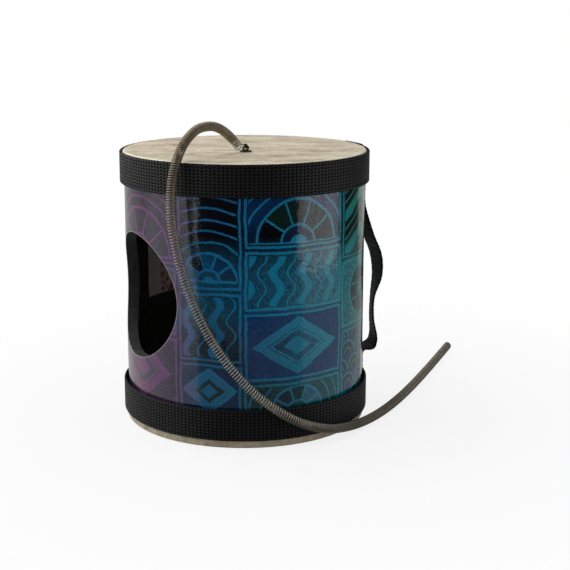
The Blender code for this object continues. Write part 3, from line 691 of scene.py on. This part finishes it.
def paint_spring_light(made):
    """Painted light on the spring: painted shade where its hook meets the eye, a painted highlight on the turns beside
    it and where it hangs on the drum's front, and painted shade towards its free end."""
    tree = made.node_tree
    shader = tree.nodes["Principled BSDF"]
    sums = Sums(tree)
    split = tree.nodes.new("ShaderNodeSeparateXYZ")
    tree.links.new(object_place(tree), split.inputs[0])
    x, _, z = split.outputs
    # Painted light along the lower course: a painted highlight where the spring hangs on the drum's front, painted
    # shade towards its free end.
    front_light_tail_shade = ramp(tree, sums.node("MULTIPLY_ADD", x, 5.5, 0.28), [
        (0.05, (1.0, 1.0, 1.0)), (0.16, (1.30, 1.32, 1.36)), (0.26, (1.85, 1.92, 2.02)), (0.38, (1.75, 1.80, 1.84)),
        (0.50, (1.50, 1.50, 1.50)), (0.57, (1.0, 1.0, 1.0)), (0.66, (0.62, 0.61, 0.60)), (0.80, (0.56, 0.55, 0.54)),
        (0.92, (0.76, 0.75, 0.74)),
    ])
    # The arch over the head is warmer and darker than the side below it.
    colour = mix(tree, sums.below(z, 0.150, 0.020), (1.02, 0.95, 0.82), (1.12, 1.08, 0.98))
    colour = mix(tree, sums.below(z, 0.120, 0.020), colour, front_light_tail_shade)
    colour = mix(tree, 1.0, shader.inputs["Base Color"].links[0].from_socket, colour, "MULTIPLY")
    away = tree.nodes.new("ShaderNodeVectorMath")
    away.operation = "DISTANCE"
    tree.links.new(object_place(tree), away.inputs[0])
    away.inputs[1].default_value = EYE_TOP
    # Painted highlight on the turns within 11.5 mm of the eye.
    colour = mix(tree, sums.below(away.outputs["Value"], 0.0115, 0.0025), colour, (0.31, 0.288, 0.245))
    # Painted shade where the hook meets the eye.
    dark = sums.below(away.outputs["Value"], 0.0026, 0.0012)
    tree.links.new(mix(tree, dark, colour, (0.050, 0.045, 0.036)), shader.inputs["Base Color"])


def fibre_material():
    """Dyed paper tube: its wound plies show as fine rings on the cut edges."""
    made, tree, shader = new_material("fibre_tube", (0.013, 0.013, 0.013), 0.85)
    shader.inputs["Specular IOR Level"].default_value = 0.25
    sums = Sums(tree)
    radius = drum_place(tree)["Radius"]
    plies = sums.size(sums.less(sums.cell(sums.over(sums.add(radius, sums.times(noise(tree, 90.0), 0.25)), 0.75)), 0.5))
    paper = mottle(tree, 160.0, 0.6)
    value = sums.add(sums.times(paper, 0.75), sums.times(plies, 0.4))
    colour = ramp(tree, value, [(0.30, (0.0150, 0.0154, 0.0154)), (0.52, (0.0520, 0.0530, 0.0530)),
                                (0.75, (0.1300, 0.1320, 0.1320))])
    tree.links.new(colour, shader.inputs["Base Color"])
    bump(tree, shader, value, 0.0003, 0.4)
    return made


def film_edge_material():
    made, tree, shader = new_material("film_edge", (0.45, 0.45, 0.46), 0.6)
    colour = ramp(tree, mottle(tree, 300.0, 0.5), [(0.35, (0.22, 0.22, 0.23)), (0.65, (0.55, 0.55, 0.56))])
    tree.links.new(colour, shader.inputs["Base Color"])
    return made


def paper_material():
    """Inner label: a plain grey field beside a field of small red-brown marks."""
    made, tree, shader = new_material("label_paper", (0.30, 0.20, 0.16), 0.8)
    sums = Sums(tree)
    place = drum_place(tree)
    marks = noise(tree, 300.0, 3.0, None, 0.7)
    brown = ramp(tree, marks, [(0.40, (0.300, 0.080, 0.080)), (0.50, (0.780, 0.560, 0.480)),
                               (0.60, (0.950, 0.880, 0.800))])
    grey = ramp(tree, mottle(tree, 120.0, 0.5), [(0.35, (0.860, 0.800, 0.770)), (0.65, (0.950, 0.900, 0.880))])
    patch = sums.below(place["Turn"], 147.0 / 360.0, 0.001)
    tree.links.new(mix(tree, patch, grey, brown), shader.inputs["Base Color"])
    return made


film = film_material()
film_edge = film_edge_material()
webbing = webbing_material()
skin = skin_material()
spring_steel = metal_material("spring_steel", (0.280, 0.255, 0.212), 0.46, 0.70)
paint_spring_light(spring_steel)
dark_metal = metal_material("dark_metal", (0.070, 0.064, 0.052), 0.42)
zinc = metal_material("zinc_plate", (0.55, 0.55, 0.56), 0.35)
fibre = fibre_material()
paper = paper_material()


# Modelling helpers

def deselect():
    bpy.ops.object.select_all(action="DESELECT")


def only(piece):
    deselect()
    piece.select_set(True)
    bpy.context.view_layer.objects.active = piece


def named(name):
    piece = bpy.context.object
    piece.name = name
    piece.data.name = name
    return piece


def modify(piece, kind, **settings):
    only(piece)
    modifier = piece.modifiers.new(kind.lower(), kind)
    for setting, value in settings.items():
        setattr(modifier, setting, value)
    bpy.ops.object.modifier_apply(modifier=modifier.name)


def settle(piece):
    """Puts the piece's place, turn and scale into its mesh."""
    only(piece)
    bpy.ops.object.transform_apply(location=True, rotation=True, scale=True)


def finish_piece(piece, finish, body, node, angle=30.0):
    only(piece)
    bpy.ops.object.shade_smooth_by_angle(angle=math.radians(angle))
    if finish:
        piece.data.materials.clear()
        piece.data.materials.append(finish)
    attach(piece, body)
    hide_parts(node)
    return piece


def radial_frame(azimuth, distance, height):
    """A frame whose Z axis points straight out of the drum at an azimuth in degrees."""
    angle = math.radians(azimuth)
    out = Vector((math.cos(angle), math.sin(angle), 0.0))
    place = out * distance
    place.z = height
    return Matrix.Translation(place) @ out.to_track_quat("Z", "Y").to_matrix().to_4x4()


def drill(piece, radius, depth, place, sides=96):
    """Cuts a round hole along the place's Z axis."""
    deselect()
    bpy.ops.mesh.primitive_cylinder_add(vertices=sides, radius=radius, depth=depth)
    drill_bit = bpy.context.object
    drill_bit.matrix_world = place
    modify(piece, "BOOLEAN", operation="DIFFERENCE", solver="EXACT", object=drill_bit)
    bpy.data.objects.remove(drill_bit)


def open_tube(name, radius, wall, low, high):
    """An open cylinder given its wall inwards."""
    deselect()
    bpy.ops.mesh.primitive_cylinder_add(
        vertices=TURN_SIDES, radius=radius, depth=high - low, end_fill_type="NOTHING",
        location=(0.0, 0.0, (low + high) / 2),
    )
    tube = named(name)
    settle(tube)
    modify(tube, "SOLIDIFY", thickness=wall, offset=-1.0)
    hole = radial_frame(SOUND_HOLE_AZIMUTH, SHELL_RADIUS, SOUND_HOLE_HEIGHT)
    drill(tube, SOUND_HOLE_RADIUS, SHELL_RADIUS, hole, 160)
    for height in (UPPER_SCREW_HEIGHT, LOWER_SCREW_HEIGHT):
        drill(tube, 0.0021, SHELL_WALL * 3, radial_frame(STRAP_AZIMUTH, SHELL_RADIUS, height), 24)
    return tube


def make_tube():
    tube = open_tube("fibre_tube", SHELL_RADIUS, SHELL_WALL, SHELL_END, HEIGHT - SHELL_END)
    finish_piece(tube, fibre, "drum", "shell")


def make_film():
    wrap = open_tube("film_wrap", WRAP_RADIUS, WRAP_THICKNESS, HEAD_BEND, HEIGHT - HEAD_BEND)
    finish_piece(wrap, film, "drum", "print_wrap")
    wrap.data.materials.append(film_edge)
    for face in wrap.data.polygons:
        outward = Vector((face.center.x, face.center.y, 0.0)).normalized()
        if face.normal.dot(outward) < 0.8:
            face.material_index = 1


def make_head(name, height, up, node):
    """A stiff head: a shallow cup with a rounded edge and a skirt, given its thickness inwards."""
    deselect()
    bpy.ops.mesh.primitive_cylinder_add(
        vertices=TURN_SIDES, radius=SKIRT_RADIUS, depth=SKIRT_LENGTH, end_fill_type="NGON",
        location=(0.0, 0.0, height - up * SKIRT_LENGTH / 2),
    )
    cup = named(name)
    settle(cup)
    only(cup)
    bpy.ops.object.mode_set(mode="EDIT")
    bpy.ops.mesh.select_mode(type="FACE")
    bpy.ops.mesh.select_all(action="DESELECT")
    bpy.ops.object.mode_set(mode="OBJECT")
    for face in cup.data.polygons:
        face.select = face.normal.z * up < -0.5
    bpy.ops.object.mode_set(mode="EDIT")
    bpy.ops.mesh.delete(type="ONLY_FACE")
    bpy.ops.mesh.select_mode(type="EDGE")
    bpy.ops.mesh.select_all(action="DESELECT")
    bpy.ops.object.mode_set(mode="OBJECT")
    for edge in cup.data.edges:
        edge.select = all(abs(cup.data.vertices[v].co.z - height) < 1e-5 for v in edge.vertices)
    bpy.ops.object.mode_set(mode="EDIT")
    bpy.ops.mesh.bevel(offset=HEAD_BEND, segments=6, affect="EDGES")
    bpy.ops.mesh.select_mode(type="FACE")
    bpy.ops.mesh.select_all(action="DESELECT")
    bpy.ops.object.mode_set(mode="OBJECT")
    for face in cup.data.polygons:
        face.select = face.normal.z * up > 0.999
    bpy.ops.object.mode_set(mode="EDIT")
    for step in (0.004, 0.012, 0.018, 0.018):
        bpy.ops.mesh.inset(thickness=step, depth=0.0)
    bpy.ops.mesh.poke()
    bpy.ops.object.mode_set(mode="OBJECT")
    modify(cup, "SOLIDIFY", thickness=HEAD_THICKNESS, offset=-1.0)
    if up > 0:
        drill(cup, 0.0023, 0.01, Matrix.Translation((*EYE_PLACE, HEIGHT)), 32)
    finish_piece(cup, skin, "drum", node, 40.0)


# Woven webbing

def weave_height(along, across):
    """The yarns' height from 0 to 1: domed columns of domed yarns that slant one way, then the other."""
    column = along / YARN_COLUMN
    inside = column - math.floor(column) - 0.5
    slant = inside if math.floor(column) % 2 else -inside
    row = across / YARN_ROW + 0.5 * slant
    yarn = row - math.floor(row) - 0.5
    return math.cos(math.pi * yarn) ** 0.75 * (0.25 + 0.75 * math.cos(math.pi * inside) ** 0.6)


def woven_strip(name, stations, width, thickness, woven_back):
    """A strip of webbing through stations of (distance, middle, across, outwards), closed all round."""
    half = width / 2
    count = round(width / SECTION_STEP)
    front = [-half + width * step / count for step in range(count + 1)]
    back = list(reversed(front)) if woven_back else [half, half * 0.5, 0.0, -half * 0.5, -half]
    vertices, heights = [], []
    for distance, middle, across, outwards in stations:
        column = distance / YARN_COLUMN
        narrowed = 1.0 - SELVEDGE_NOTCH / half * math.sin(math.pi * (column - 0.5)) ** 2
        for side, offsets in ((1.0, front), (-1.0, back)):
            for offset in offsets:
                margin = min(1.0, (half - abs(offset)) / (thickness * 0.55))
                full = thickness / 2 * (0.30 + 0.70 * math.sqrt(margin * (2.0 - margin)))
                woven = side > 0 or woven_back
                height = weave_height(distance, offset + (0.0 if side > 0 else YARN_ROW / 2)) if woven else 1.0
                full -= YARN_DEPTH * (1.0 - height) * (0.35 + 0.65 * margin)
                aside = offset * (1.0 + (narrowed - 1.0) * (1.0 - margin))
                vertices.append(middle + across * aside + outwards * side * full)
                heights.append(height)
    ring = len(front) + len(back)
    faces = []
    for station in range(len(stations) - 1):
        low, high = station * ring, (station + 1) * ring
        for point in range(ring):
            after = (point + 1) % ring
            faces.append((low + point, low + after, high + after, high + point))
    faces.append(tuple(reversed(range(ring))))
    last = (len(stations) - 1) * ring
    faces.append(tuple(last + point for point in range(ring)))
    mesh = bpy.data.meshes.new(name)
    mesh.from_pydata(vertices, [], faces)
    attribute = mesh.attributes.new("weave", "FLOAT", "POINT")
    attribute.data.foreach_set("value", heights)
    strip = bpy.data.objects.new(name, mesh)
    bpy.context.scene.collection.objects.link(strip)
    only(strip)
    bpy.ops.object.mode_set(mode="EDIT")
    bpy.ops.mesh.select_all(action="SELECT")
    bpy.ops.mesh.normals_make_consistent(inside=False)
    bpy.ops.object.mode_set(mode="OBJECT")
    return strip


def make_band(name, low, node):
    """Webbing wound once round the drum, its end lapped over its start."""
    turn = 357.5
    ramp_start = turn - BAND_RAMP_ANGLE
    end = 360.0 + BAND_LAP_ANGLE
    lap = WEBBING_THICKNESS + GAP
    radius = BAND_RADIUS + WEBBING_THICKNESS / 2
    step = math.degrees(STATION_STEP / radius)
    up = Vector((0.0, 0.0, 1.0))
    stations = []
    for index in range(int(end / step) + 1):
        angle = index * step
        share = min(max((angle - ramp_start) / BAND_RAMP_ANGLE, 0.0), 1.0)
        reach = radius + lap * share * share * (3 - 2 * share)
        place = math.radians(BAND_LAP_START + angle)
        out = Vector((math.cos(place), math.sin(place), 0.0))
        stations.append((angle / step * STATION_STEP, out * reach + up * (low + WEBBING_WIDTH / 2), up, out))
    band = woven_strip(name, stations, WEBBING_WIDTH, WEBBING_THICKNESS, False)
    finish_piece(band, webbing, "drum", node, 60.0)


def make_strap():
    """The carry strap: a strip that stands off the drum between its screwed ends."""
    out = Vector((math.cos(math.radians(STRAP_AZIMUTH)), math.sin(math.radians(STRAP_AZIMUTH)), 0.0))
    side = Vector((-out.y, out.x, 0.0))
    top, bottom = STRAP_UPPER_END[-1], STRAP_LOWER_END[0]
    points = [Vector((GAP, height, 0.0)) for height in STRAP_UPPER_END]
    points += [Vector((STRAP_REACH * out_share, bottom + (top - bottom) * share, twist))
               for out_share, share, twist in STRAP_LOOP]
    points += [Vector((GAP, height, 0.0)) for height in STRAP_LOWER_END]
    route = smooth_line(points, 40)
    flat = [Vector((clearance, height, 0.0)) for clearance, height, _ in route]
    reach = along(flat)
    stations = []
    count = int(reach[-1] / STATION_STEP)
    segment = 0
    for index in range(count + 1):
        distance = reach[-1] * index / count
        while segment < len(route) - 2 and reach[segment + 1] < distance:
            segment += 1
        share = (distance - reach[segment]) / (reach[segment + 1] - reach[segment])
        clearance, height, twist = route[segment].lerp(route[segment + 1], share)
        ahead = (out * (flat[segment + 1].x - flat[segment].x)
                 + Vector((0.0, 0.0, flat[segment + 1].y - flat[segment].y))).normalized()
        across = Matrix.Rotation(math.radians(twist), 3, ahead) @ side
        middle = out * (WRAP_RADIUS + STRAP_THICKNESS / 2 + clearance) + Vector((0.0, 0.0, height))
        stations.append((distance, middle, across, ahead.cross(across)))
    strap = woven_strip("woven_strap", stations, STRAP_WIDTH, STRAP_THICKNESS, True)
    for height in (UPPER_SCREW_HEIGHT, LOWER_SCREW_HEIGHT):
        drill(strap, 0.0021, 0.012, radial_frame(STRAP_AZIMUTH, SHELL_RADIUS + 0.0017, height), 24)
    finish_piece(strap, webbing, "drum", "carry_strap", 60.0)


# The spring and its eye

def smooth_line(points, samples):
    """Points along a Catmull-Rom curve through the given points, samples to each stretch."""
    ends = [points[0] * 2 - points[1], *points, points[-1] * 2 - points[-2]]
    line = []
    for before, start, end, after in zip(ends, ends[1:], ends[2:], ends[3:]):
        for step in range(samples):
            t = step / samples
            square = before * 2 - start * 5 + end * 4 - after
            cube = start * 3 - before - end * 3 + after
            line.append((start * 2 + (end - before) * t + square * t**2 + cube * t**3) / 2)
    line.append(points[-1].copy())
    return line


def along(line):
    """How far each point lies along its line."""
    reach = [0.0]
    for first, second in zip(line, line[1:]):
        reach.append(reach[-1] + (second - first).length)
    return reach


def wire(name, points, radius, sides_step):
    """A round wire through the points, with filled ends, as a mesh."""
    data = bpy.data.curves.new(name, "CURVE")
    data.dimensions = "3D"
    data.bevel_depth = radius
    data.bevel_resolution = sides_step
    data.use_fill_caps = True
    spline = data.splines.new("POLY")
    spline.points.add(len(points) - 1)
    for point, place in zip(spline.points, points):
        point.co = (*place, 1.0)
    made = bpy.data.objects.new(name, data)
    bpy.context.scene.collection.objects.link(made)
    only(made)
    bpy.ops.object.convert(target="MESH")
    made = bpy.context.object
    bpy.ops.object.mode_set(mode="EDIT")
    bpy.ops.mesh.select_all(action="SELECT")
    bpy.ops.mesh.remove_doubles(threshold=0.000001)
    bpy.ops.object.mode_set(mode="OBJECT")
    return made


# Where the spring's turns stand open, as (start, full, end of full, end) along it in metres and how far they open
OPEN_STRETCHES = [(-0.002, -0.001, 0.009, 0.012, 1.10), (0.050, 0.115, 0.245, 0.325, 1.0)]


def pitch_at(distance):
    """The spring's pitch: open beside its hook and where it hangs down the drum's front."""
    share = 0.0
    for start, full, full_end, end, opened in OPEN_STRETCHES:
        rise = (distance - start) / (full - start)
        fall = (end - distance) / (end - full_end)
        share = max(share, min(rise, fall, 1.0) * opened)
    return CLOSE_PITCH + (OPEN_PITCH - CLOSE_PITCH) * share


def from_eye(ahead, aside, above):
    """A point seen from the top of the eye: ahead along its wire, aside from it and above it."""
    angle = math.radians(EYE_AZIMUTH)
    axis = Vector((math.cos(angle), math.sin(angle), 0.0))
    return EYE_TOP + axis * ahead + Vector((-axis.y, axis.x, 0.0)) * aside + Vector((0.0, 0.0, above))


def make_spring():
    line = smooth_line([Vector(place) for place in SPRING_ROUTE], 30)
    reach = along(line)
    hook = []
    for step in range(64):
        angle = math.radians(630.0 - 525.0 * step / 63)
        ahead = 0.0010 * (0.5 - step / 63)
        hook.append(from_eye(ahead, HOOK_RADIUS * math.cos(angle), HOOK_RADIUS * math.sin(angle)))

    mean_radius = SPRING_DIAMETER / 2 - WIRE_RADIUS
    axis = from_eye(1.0, 0.0, 0.0) - EYE_TOP
    forward = (line[1] - line[0]).normalized()
    across = (axis - forward * axis.dot(forward)).normalized()
    curls = []
    distance = turn = 0.0
    segment = 0
    while distance < reach[-1]:
        while segment < len(line) - 2 and reach[segment + 1] < distance:
            segment += 1
        share = (distance - reach[segment]) / (reach[segment + 1] - reach[segment])
        place = line[segment].lerp(line[segment + 1], share)
        ahead = (line[segment + 1] - line[segment]).normalized()
        across = (across - ahead * across.dot(ahead)).normalized()
        around = across * math.cos(turn) + ahead.cross(across) * math.sin(turn)
        curls.append(place + around * mean_radius)
        turn += math.tau / POINTS_PER_TURN
        distance += pitch_at(distance) / POINTS_PER_TURN
    bend = [hook[-1], from_eye(-0.0012, 0.0000, 0.0012), from_eye(-0.0023, 0.0001, 0.0013), curls[0]]
    lead = smooth_line(bend, 6)
    spring = wire("coil_spring", hook + lead[1:-1] + curls, WIRE_RADIUS, 2)
    finish_piece(spring, spring_steel, "spring", "spring", 60.0)


def make_eye():
    """The wire eye: an oval loop over the head and two legs down through the grommet, spread under the washer."""
    half_width, half_height, offset, wire_radius = 0.0023, 0.0012, 0.0007, 0.0006
    middle = -half_height
    neck = math.asin(offset / half_width)
    loop = []
    for step in range(49):
        angle = neck + (math.tau - 2 * neck) * step / 48
        loop.append((half_width * math.sin(angle), middle - half_height * math.cos(angle)))
    low = HEIGHT - 0.0032 - EYE_TOP.z
    bend = 0.0007
    leg = [(offset + 0.0034, low), (offset + bend, low), (offset + bend * 0.3, low + bend * 0.3),
           (offset, low + bend), (offset, HEIGHT + 0.0008 - EYE_TOP.z)]
    left = [(-x, z) for x, z in reversed(leg)]
    points = [from_eye(x, 0.0, z) for x, z in leg + loop + left]
    eye = wire("wire_eye", points, wire_radius, 4)
    finish_piece(eye, dark_metal, "eye", "spring_eye", 60.0)


def turned_piece(name, profile, place, sides=64):
    """A closed outline of (radius, height) points turned round the place's Z axis."""
    mesh = bpy.data.meshes.new(name)
    vertices = [(radius, 0.0, height) for radius, height in profile]
    edges = [(point, (point + 1) % len(profile)) for point in range(len(profile))]
    edges = [edge for edge in edges if profile[edge[0]][0] > 0.0 or profile[edge[1]][0] > 0.0]
    mesh.from_pydata(vertices, edges, [])
    piece = bpy.data.objects.new(name, mesh)
    bpy.context.scene.collection.objects.link(piece)
    modify(piece, "SCREW", steps=sides, render_steps=sides, use_merge_vertices=True, merge_threshold=0.00001)
    piece.matrix_world = place
    settle(piece)
    only(piece)
    bpy.ops.object.mode_set(mode="EDIT")
    bpy.ops.mesh.select_all(action="SELECT")
    bpy.ops.mesh.normals_make_consistent(inside=False)
    bpy.ops.object.mode_set(mode="OBJECT")
    return piece


def make_grommet():
    top, under = HEIGHT + 0.0003, HEIGHT - 0.0008
    crown = [(0.0035 + 0.0003 * math.sin(a), top + 0.0002 + 0.0003 * math.cos(a))
             for a in (math.radians(15.0 * step) for step in range(7))]
    lip = [(0.0018 + 0.0003 * math.cos(a), top + 0.0002 + 0.0003 * math.sin(a))
           for a in (math.radians(180.0 - 15.0 * step) for step in range(7))]
    profile = lip + crown + [(0.0038, top), (0.0019, top), (0.0019, under), (0.0033, under),
                             (0.0033, under - 0.0005), (0.0015, under - 0.0005)]
    grommet = turned_piece("eyelet", profile, Matrix.Translation((*EYE_PLACE, 0.0)))
    finish_piece(grommet, dark_metal, "drum", "head_grommet", 40.0)


def make_screw(name, height, node):
    """A domed screw: its head with a crossed recess, and its shank."""
    seat = WRAP_RADIUS + GAP + STRAP_THICKNESS + GAP
    end = 0.0639 - seat
    dome = [(0.0032 * math.sin(a), 0.0021 * math.cos(a)) for a in (math.radians(9.0 * step) for step in range(11))]
    profile = dome + [(0.0018, 0.0), (0.0018, end), (0.0, end)]
    frame_here = radial_frame(STRAP_AZIMUTH, seat, height)
    screw = turned_piece(name, profile, frame_here)
    for turn in (0.0, 90.0):
        deselect()
        bpy.ops.mesh.primitive_cube_add(size=1.0)
        slot = bpy.context.object
        slot.matrix_world = (frame_here @ Matrix.Translation((0.0, 0.0, 0.0021))
                             @ Matrix.Rotation(math.radians(turn + 20.0), 4, "Z") @ Matrix.Diagonal((0.0032, 0.0006, 0.0018, 1.0)))
        modify(screw, "BOOLEAN", operation="DIFFERENCE", solver="EXACT", object=slot)
        bpy.data.objects.remove(slot)
    finish_piece(screw, dark_metal, "drum", node, 35.0)


def keep_node(name, finish):
    """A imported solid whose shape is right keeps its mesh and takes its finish."""
    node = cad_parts[name]
    node.data.materials.clear()
    node.data.materials.append(finish)


make_spring()
make_tube()
make_film()
make_head("top_skin", HEIGHT, 1, "top_head")
make_head("bottom_skin", 0.0, -1, "bottom_head")
make_band("top_webbing", TOP_BAND_LOW, "top_band")
make_band("bottom_webbing", BOTTOM_BAND_LOW, "bottom_band")
make_strap()
make_eye()
make_grommet()
make_screw("upper_dome_screw", UPPER_SCREW_HEIGHT, "upper_strap_screw")
make_screw("lower_dome_screw", LOWER_SCREW_HEIGHT, "lower_strap_screw")
for washer in ("eye_washer", "upper_strap_washer", "lower_strap_washer", "upper_strap_nut", "lower_strap_nut"):
    keep_node(washer, zinc)
keep_node("inner_label", paper)


# The studio

# How bright the floor glows for gloss, as a painted reflection, to the drum's left, to its right and just in front of
# it
LEFT_GLOSS, RIGHT_GLOSS, NEAR_GLOSS = 0.65, 0.45, 0.18


def add_floor():
    """A pale floor that keeps the drum's shadow and is pure white further out. For gloss it glows as a painted
    reflection, bright beside the drum and behind it, and dark towards the camera."""
    deselect()
    bpy.ops.mesh.primitive_plane_add(size=8.0, location=(0.0, 0.0, 0.0))
    floor = named("floor")
    made, tree, shader = new_material("floor", (0.9, 0.9, 0.9), 0.9)
    sums = Sums(tree)
    glow = tree.nodes.new("ShaderNodeEmission")
    blend = tree.nodes.new("ShaderNodeMixShader")
    rays = tree.nodes.new("ShaderNodeLightPath")
    camera_ray = rays.outputs["Is Camera Ray"]
    split = tree.nodes.new("ShaderNodeSeparateXYZ")
    tree.links.new(object_place(tree), split.inputs[0])
    x, y, _ = split.outputs
    radius = drum_place(tree)["Radius"]
    left = sums.add(sums.times(sums.add(x, 0.022), -0.7193), sums.times(sums.add(y, 0.070), 0.6947))
    far = sums.node("MULTIPLY_ADD", radius, 0.002, -0.5, clamp=True)
    left = sums.times(sums.node("MULTIPLY_ADD", left, 60.0, 0.5, clamp=True), sums.add(sums.times(far, 0.35), LEFT_GLOSS))
    left = sums.times(left, sums.less(1.0, sums.times(sums.node("MULTIPLY", y, 4.0, clamp=True), 0.55)))
    right = sums.node("MULTIPLY_ADD", sums.add(sums.times(x, 0.68), sums.add(y, 0.043)), 40.0, 0.5, clamp=True)
    behind = sums.node("MULTIPLY_ADD", y, 7.7, 0.4, clamp=True)
    distant = sums.node("MULTIPLY_ADD", radius, 0.0022, -0.55, clamp=True)
    right = sums.times(sums.times(right, RIGHT_GLOSS), sums.less(1.0, sums.times(behind, sums.add(0.20, sums.times(distant, 0.72)))))
    beside = sums.most(left, right)
    near = sums.times(sums.node("MULTIPLY", sums.add(y, 0.42), 11.0, clamp=True), NEAR_GLOSS)
    near = sums.times(near, sums.less(1.0, sums.times(behind, sums.times(distant, 0.85))))
    gloss = sums.most(sums.most(beside, near), 0.02)
    unlit = sums.node("MULTIPLY_ADD", radius, 0.004, -0.55, clamp=True)
    seen = sums.times(camera_ray, sums.add(0.82, sums.times(unlit, 0.18)))
    tree.links.new(mix(tree, camera_ray, (0.50, 0.50, 0.50), (0.90, 0.90, 0.90)), shader.inputs["Base Color"])
    tree.links.new(sums.most(seen, rays.outputs["Is Glossy Ray"]), blend.inputs["Fac"])
    tree.links.new(sums.add(camera_ray, sums.times(sums.less(1.0, camera_ray), gloss)), glow.inputs["Strength"])
    tree.links.new(shader.outputs[0], blend.inputs[1])
    tree.links.new(glow.outputs[0], blend.inputs[2])
    tree.links.new(blend.outputs[0], tree.nodes["Material Output"].inputs["Surface"])
    floor.data.materials.append(made)


def add_world():
    world = bpy.data.worlds.new("studio")
    bpy.context.scene.world = world
    world.use_nodes = True
    tree = world.node_tree
    background = tree.nodes["Background"]
    rays = tree.nodes.new("ShaderNodeLightPath")
    sums = Sums(tree)
    seen = sums.most(rays.outputs["Is Camera Ray"], rays.outputs["Is Transmission Ray"])
    background.inputs["Color"].default_value = (1.0, 1.0, 1.0, 1.0)
    tree.links.new(sums.add(0.30, sums.times(seen, 0.70)), background.inputs["Strength"])


def add_panel(name, azimuth, distance, low, width, tall, glow):
    """An upright light panel at an azimuth in degrees to the right of the camera's side, facing the drum."""
    data = bpy.data.lights.new(name, "AREA")
    data.shape = "RECTANGLE"
    data.size, data.size_y = width, tall
    data.energy = glow * math.pi * width * tall
    angle = math.radians(azimuth)
    out = Vector((math.sin(angle), -math.cos(angle), 0.0))
    light = bpy.data.objects.new(name, data)
    light.location = out * distance + Vector((0.0, 0.0, low + tall / 2))
    light.rotation_euler = out.to_track_quat("Z", "Y").to_euler()
    bpy.context.scene.collection.objects.link(light)


def add_top_light(glow):
    data = bpy.data.lights.new("top_panel", "AREA")
    data.shape = "RECTANGLE"
    data.size, data.size_y = 1.0, 1.0
    data.energy = glow * math.pi
    light = bpy.data.objects.new("top_panel", data)
    light.location = (0.0, 0.1, 1.3)
    bpy.context.scene.collection.objects.link(light)


add_floor()
add_world()
add_panel("left_panel", -92.0, 0.70, 0.17, 1.55, 1.0, 1.9)
add_panel("right_panel", 71.0, 0.50, 0.01, 0.44, 0.30, 1.0)
add_top_light(1.7)
bpy.context.scene.view_settings.view_transform = "Standard"
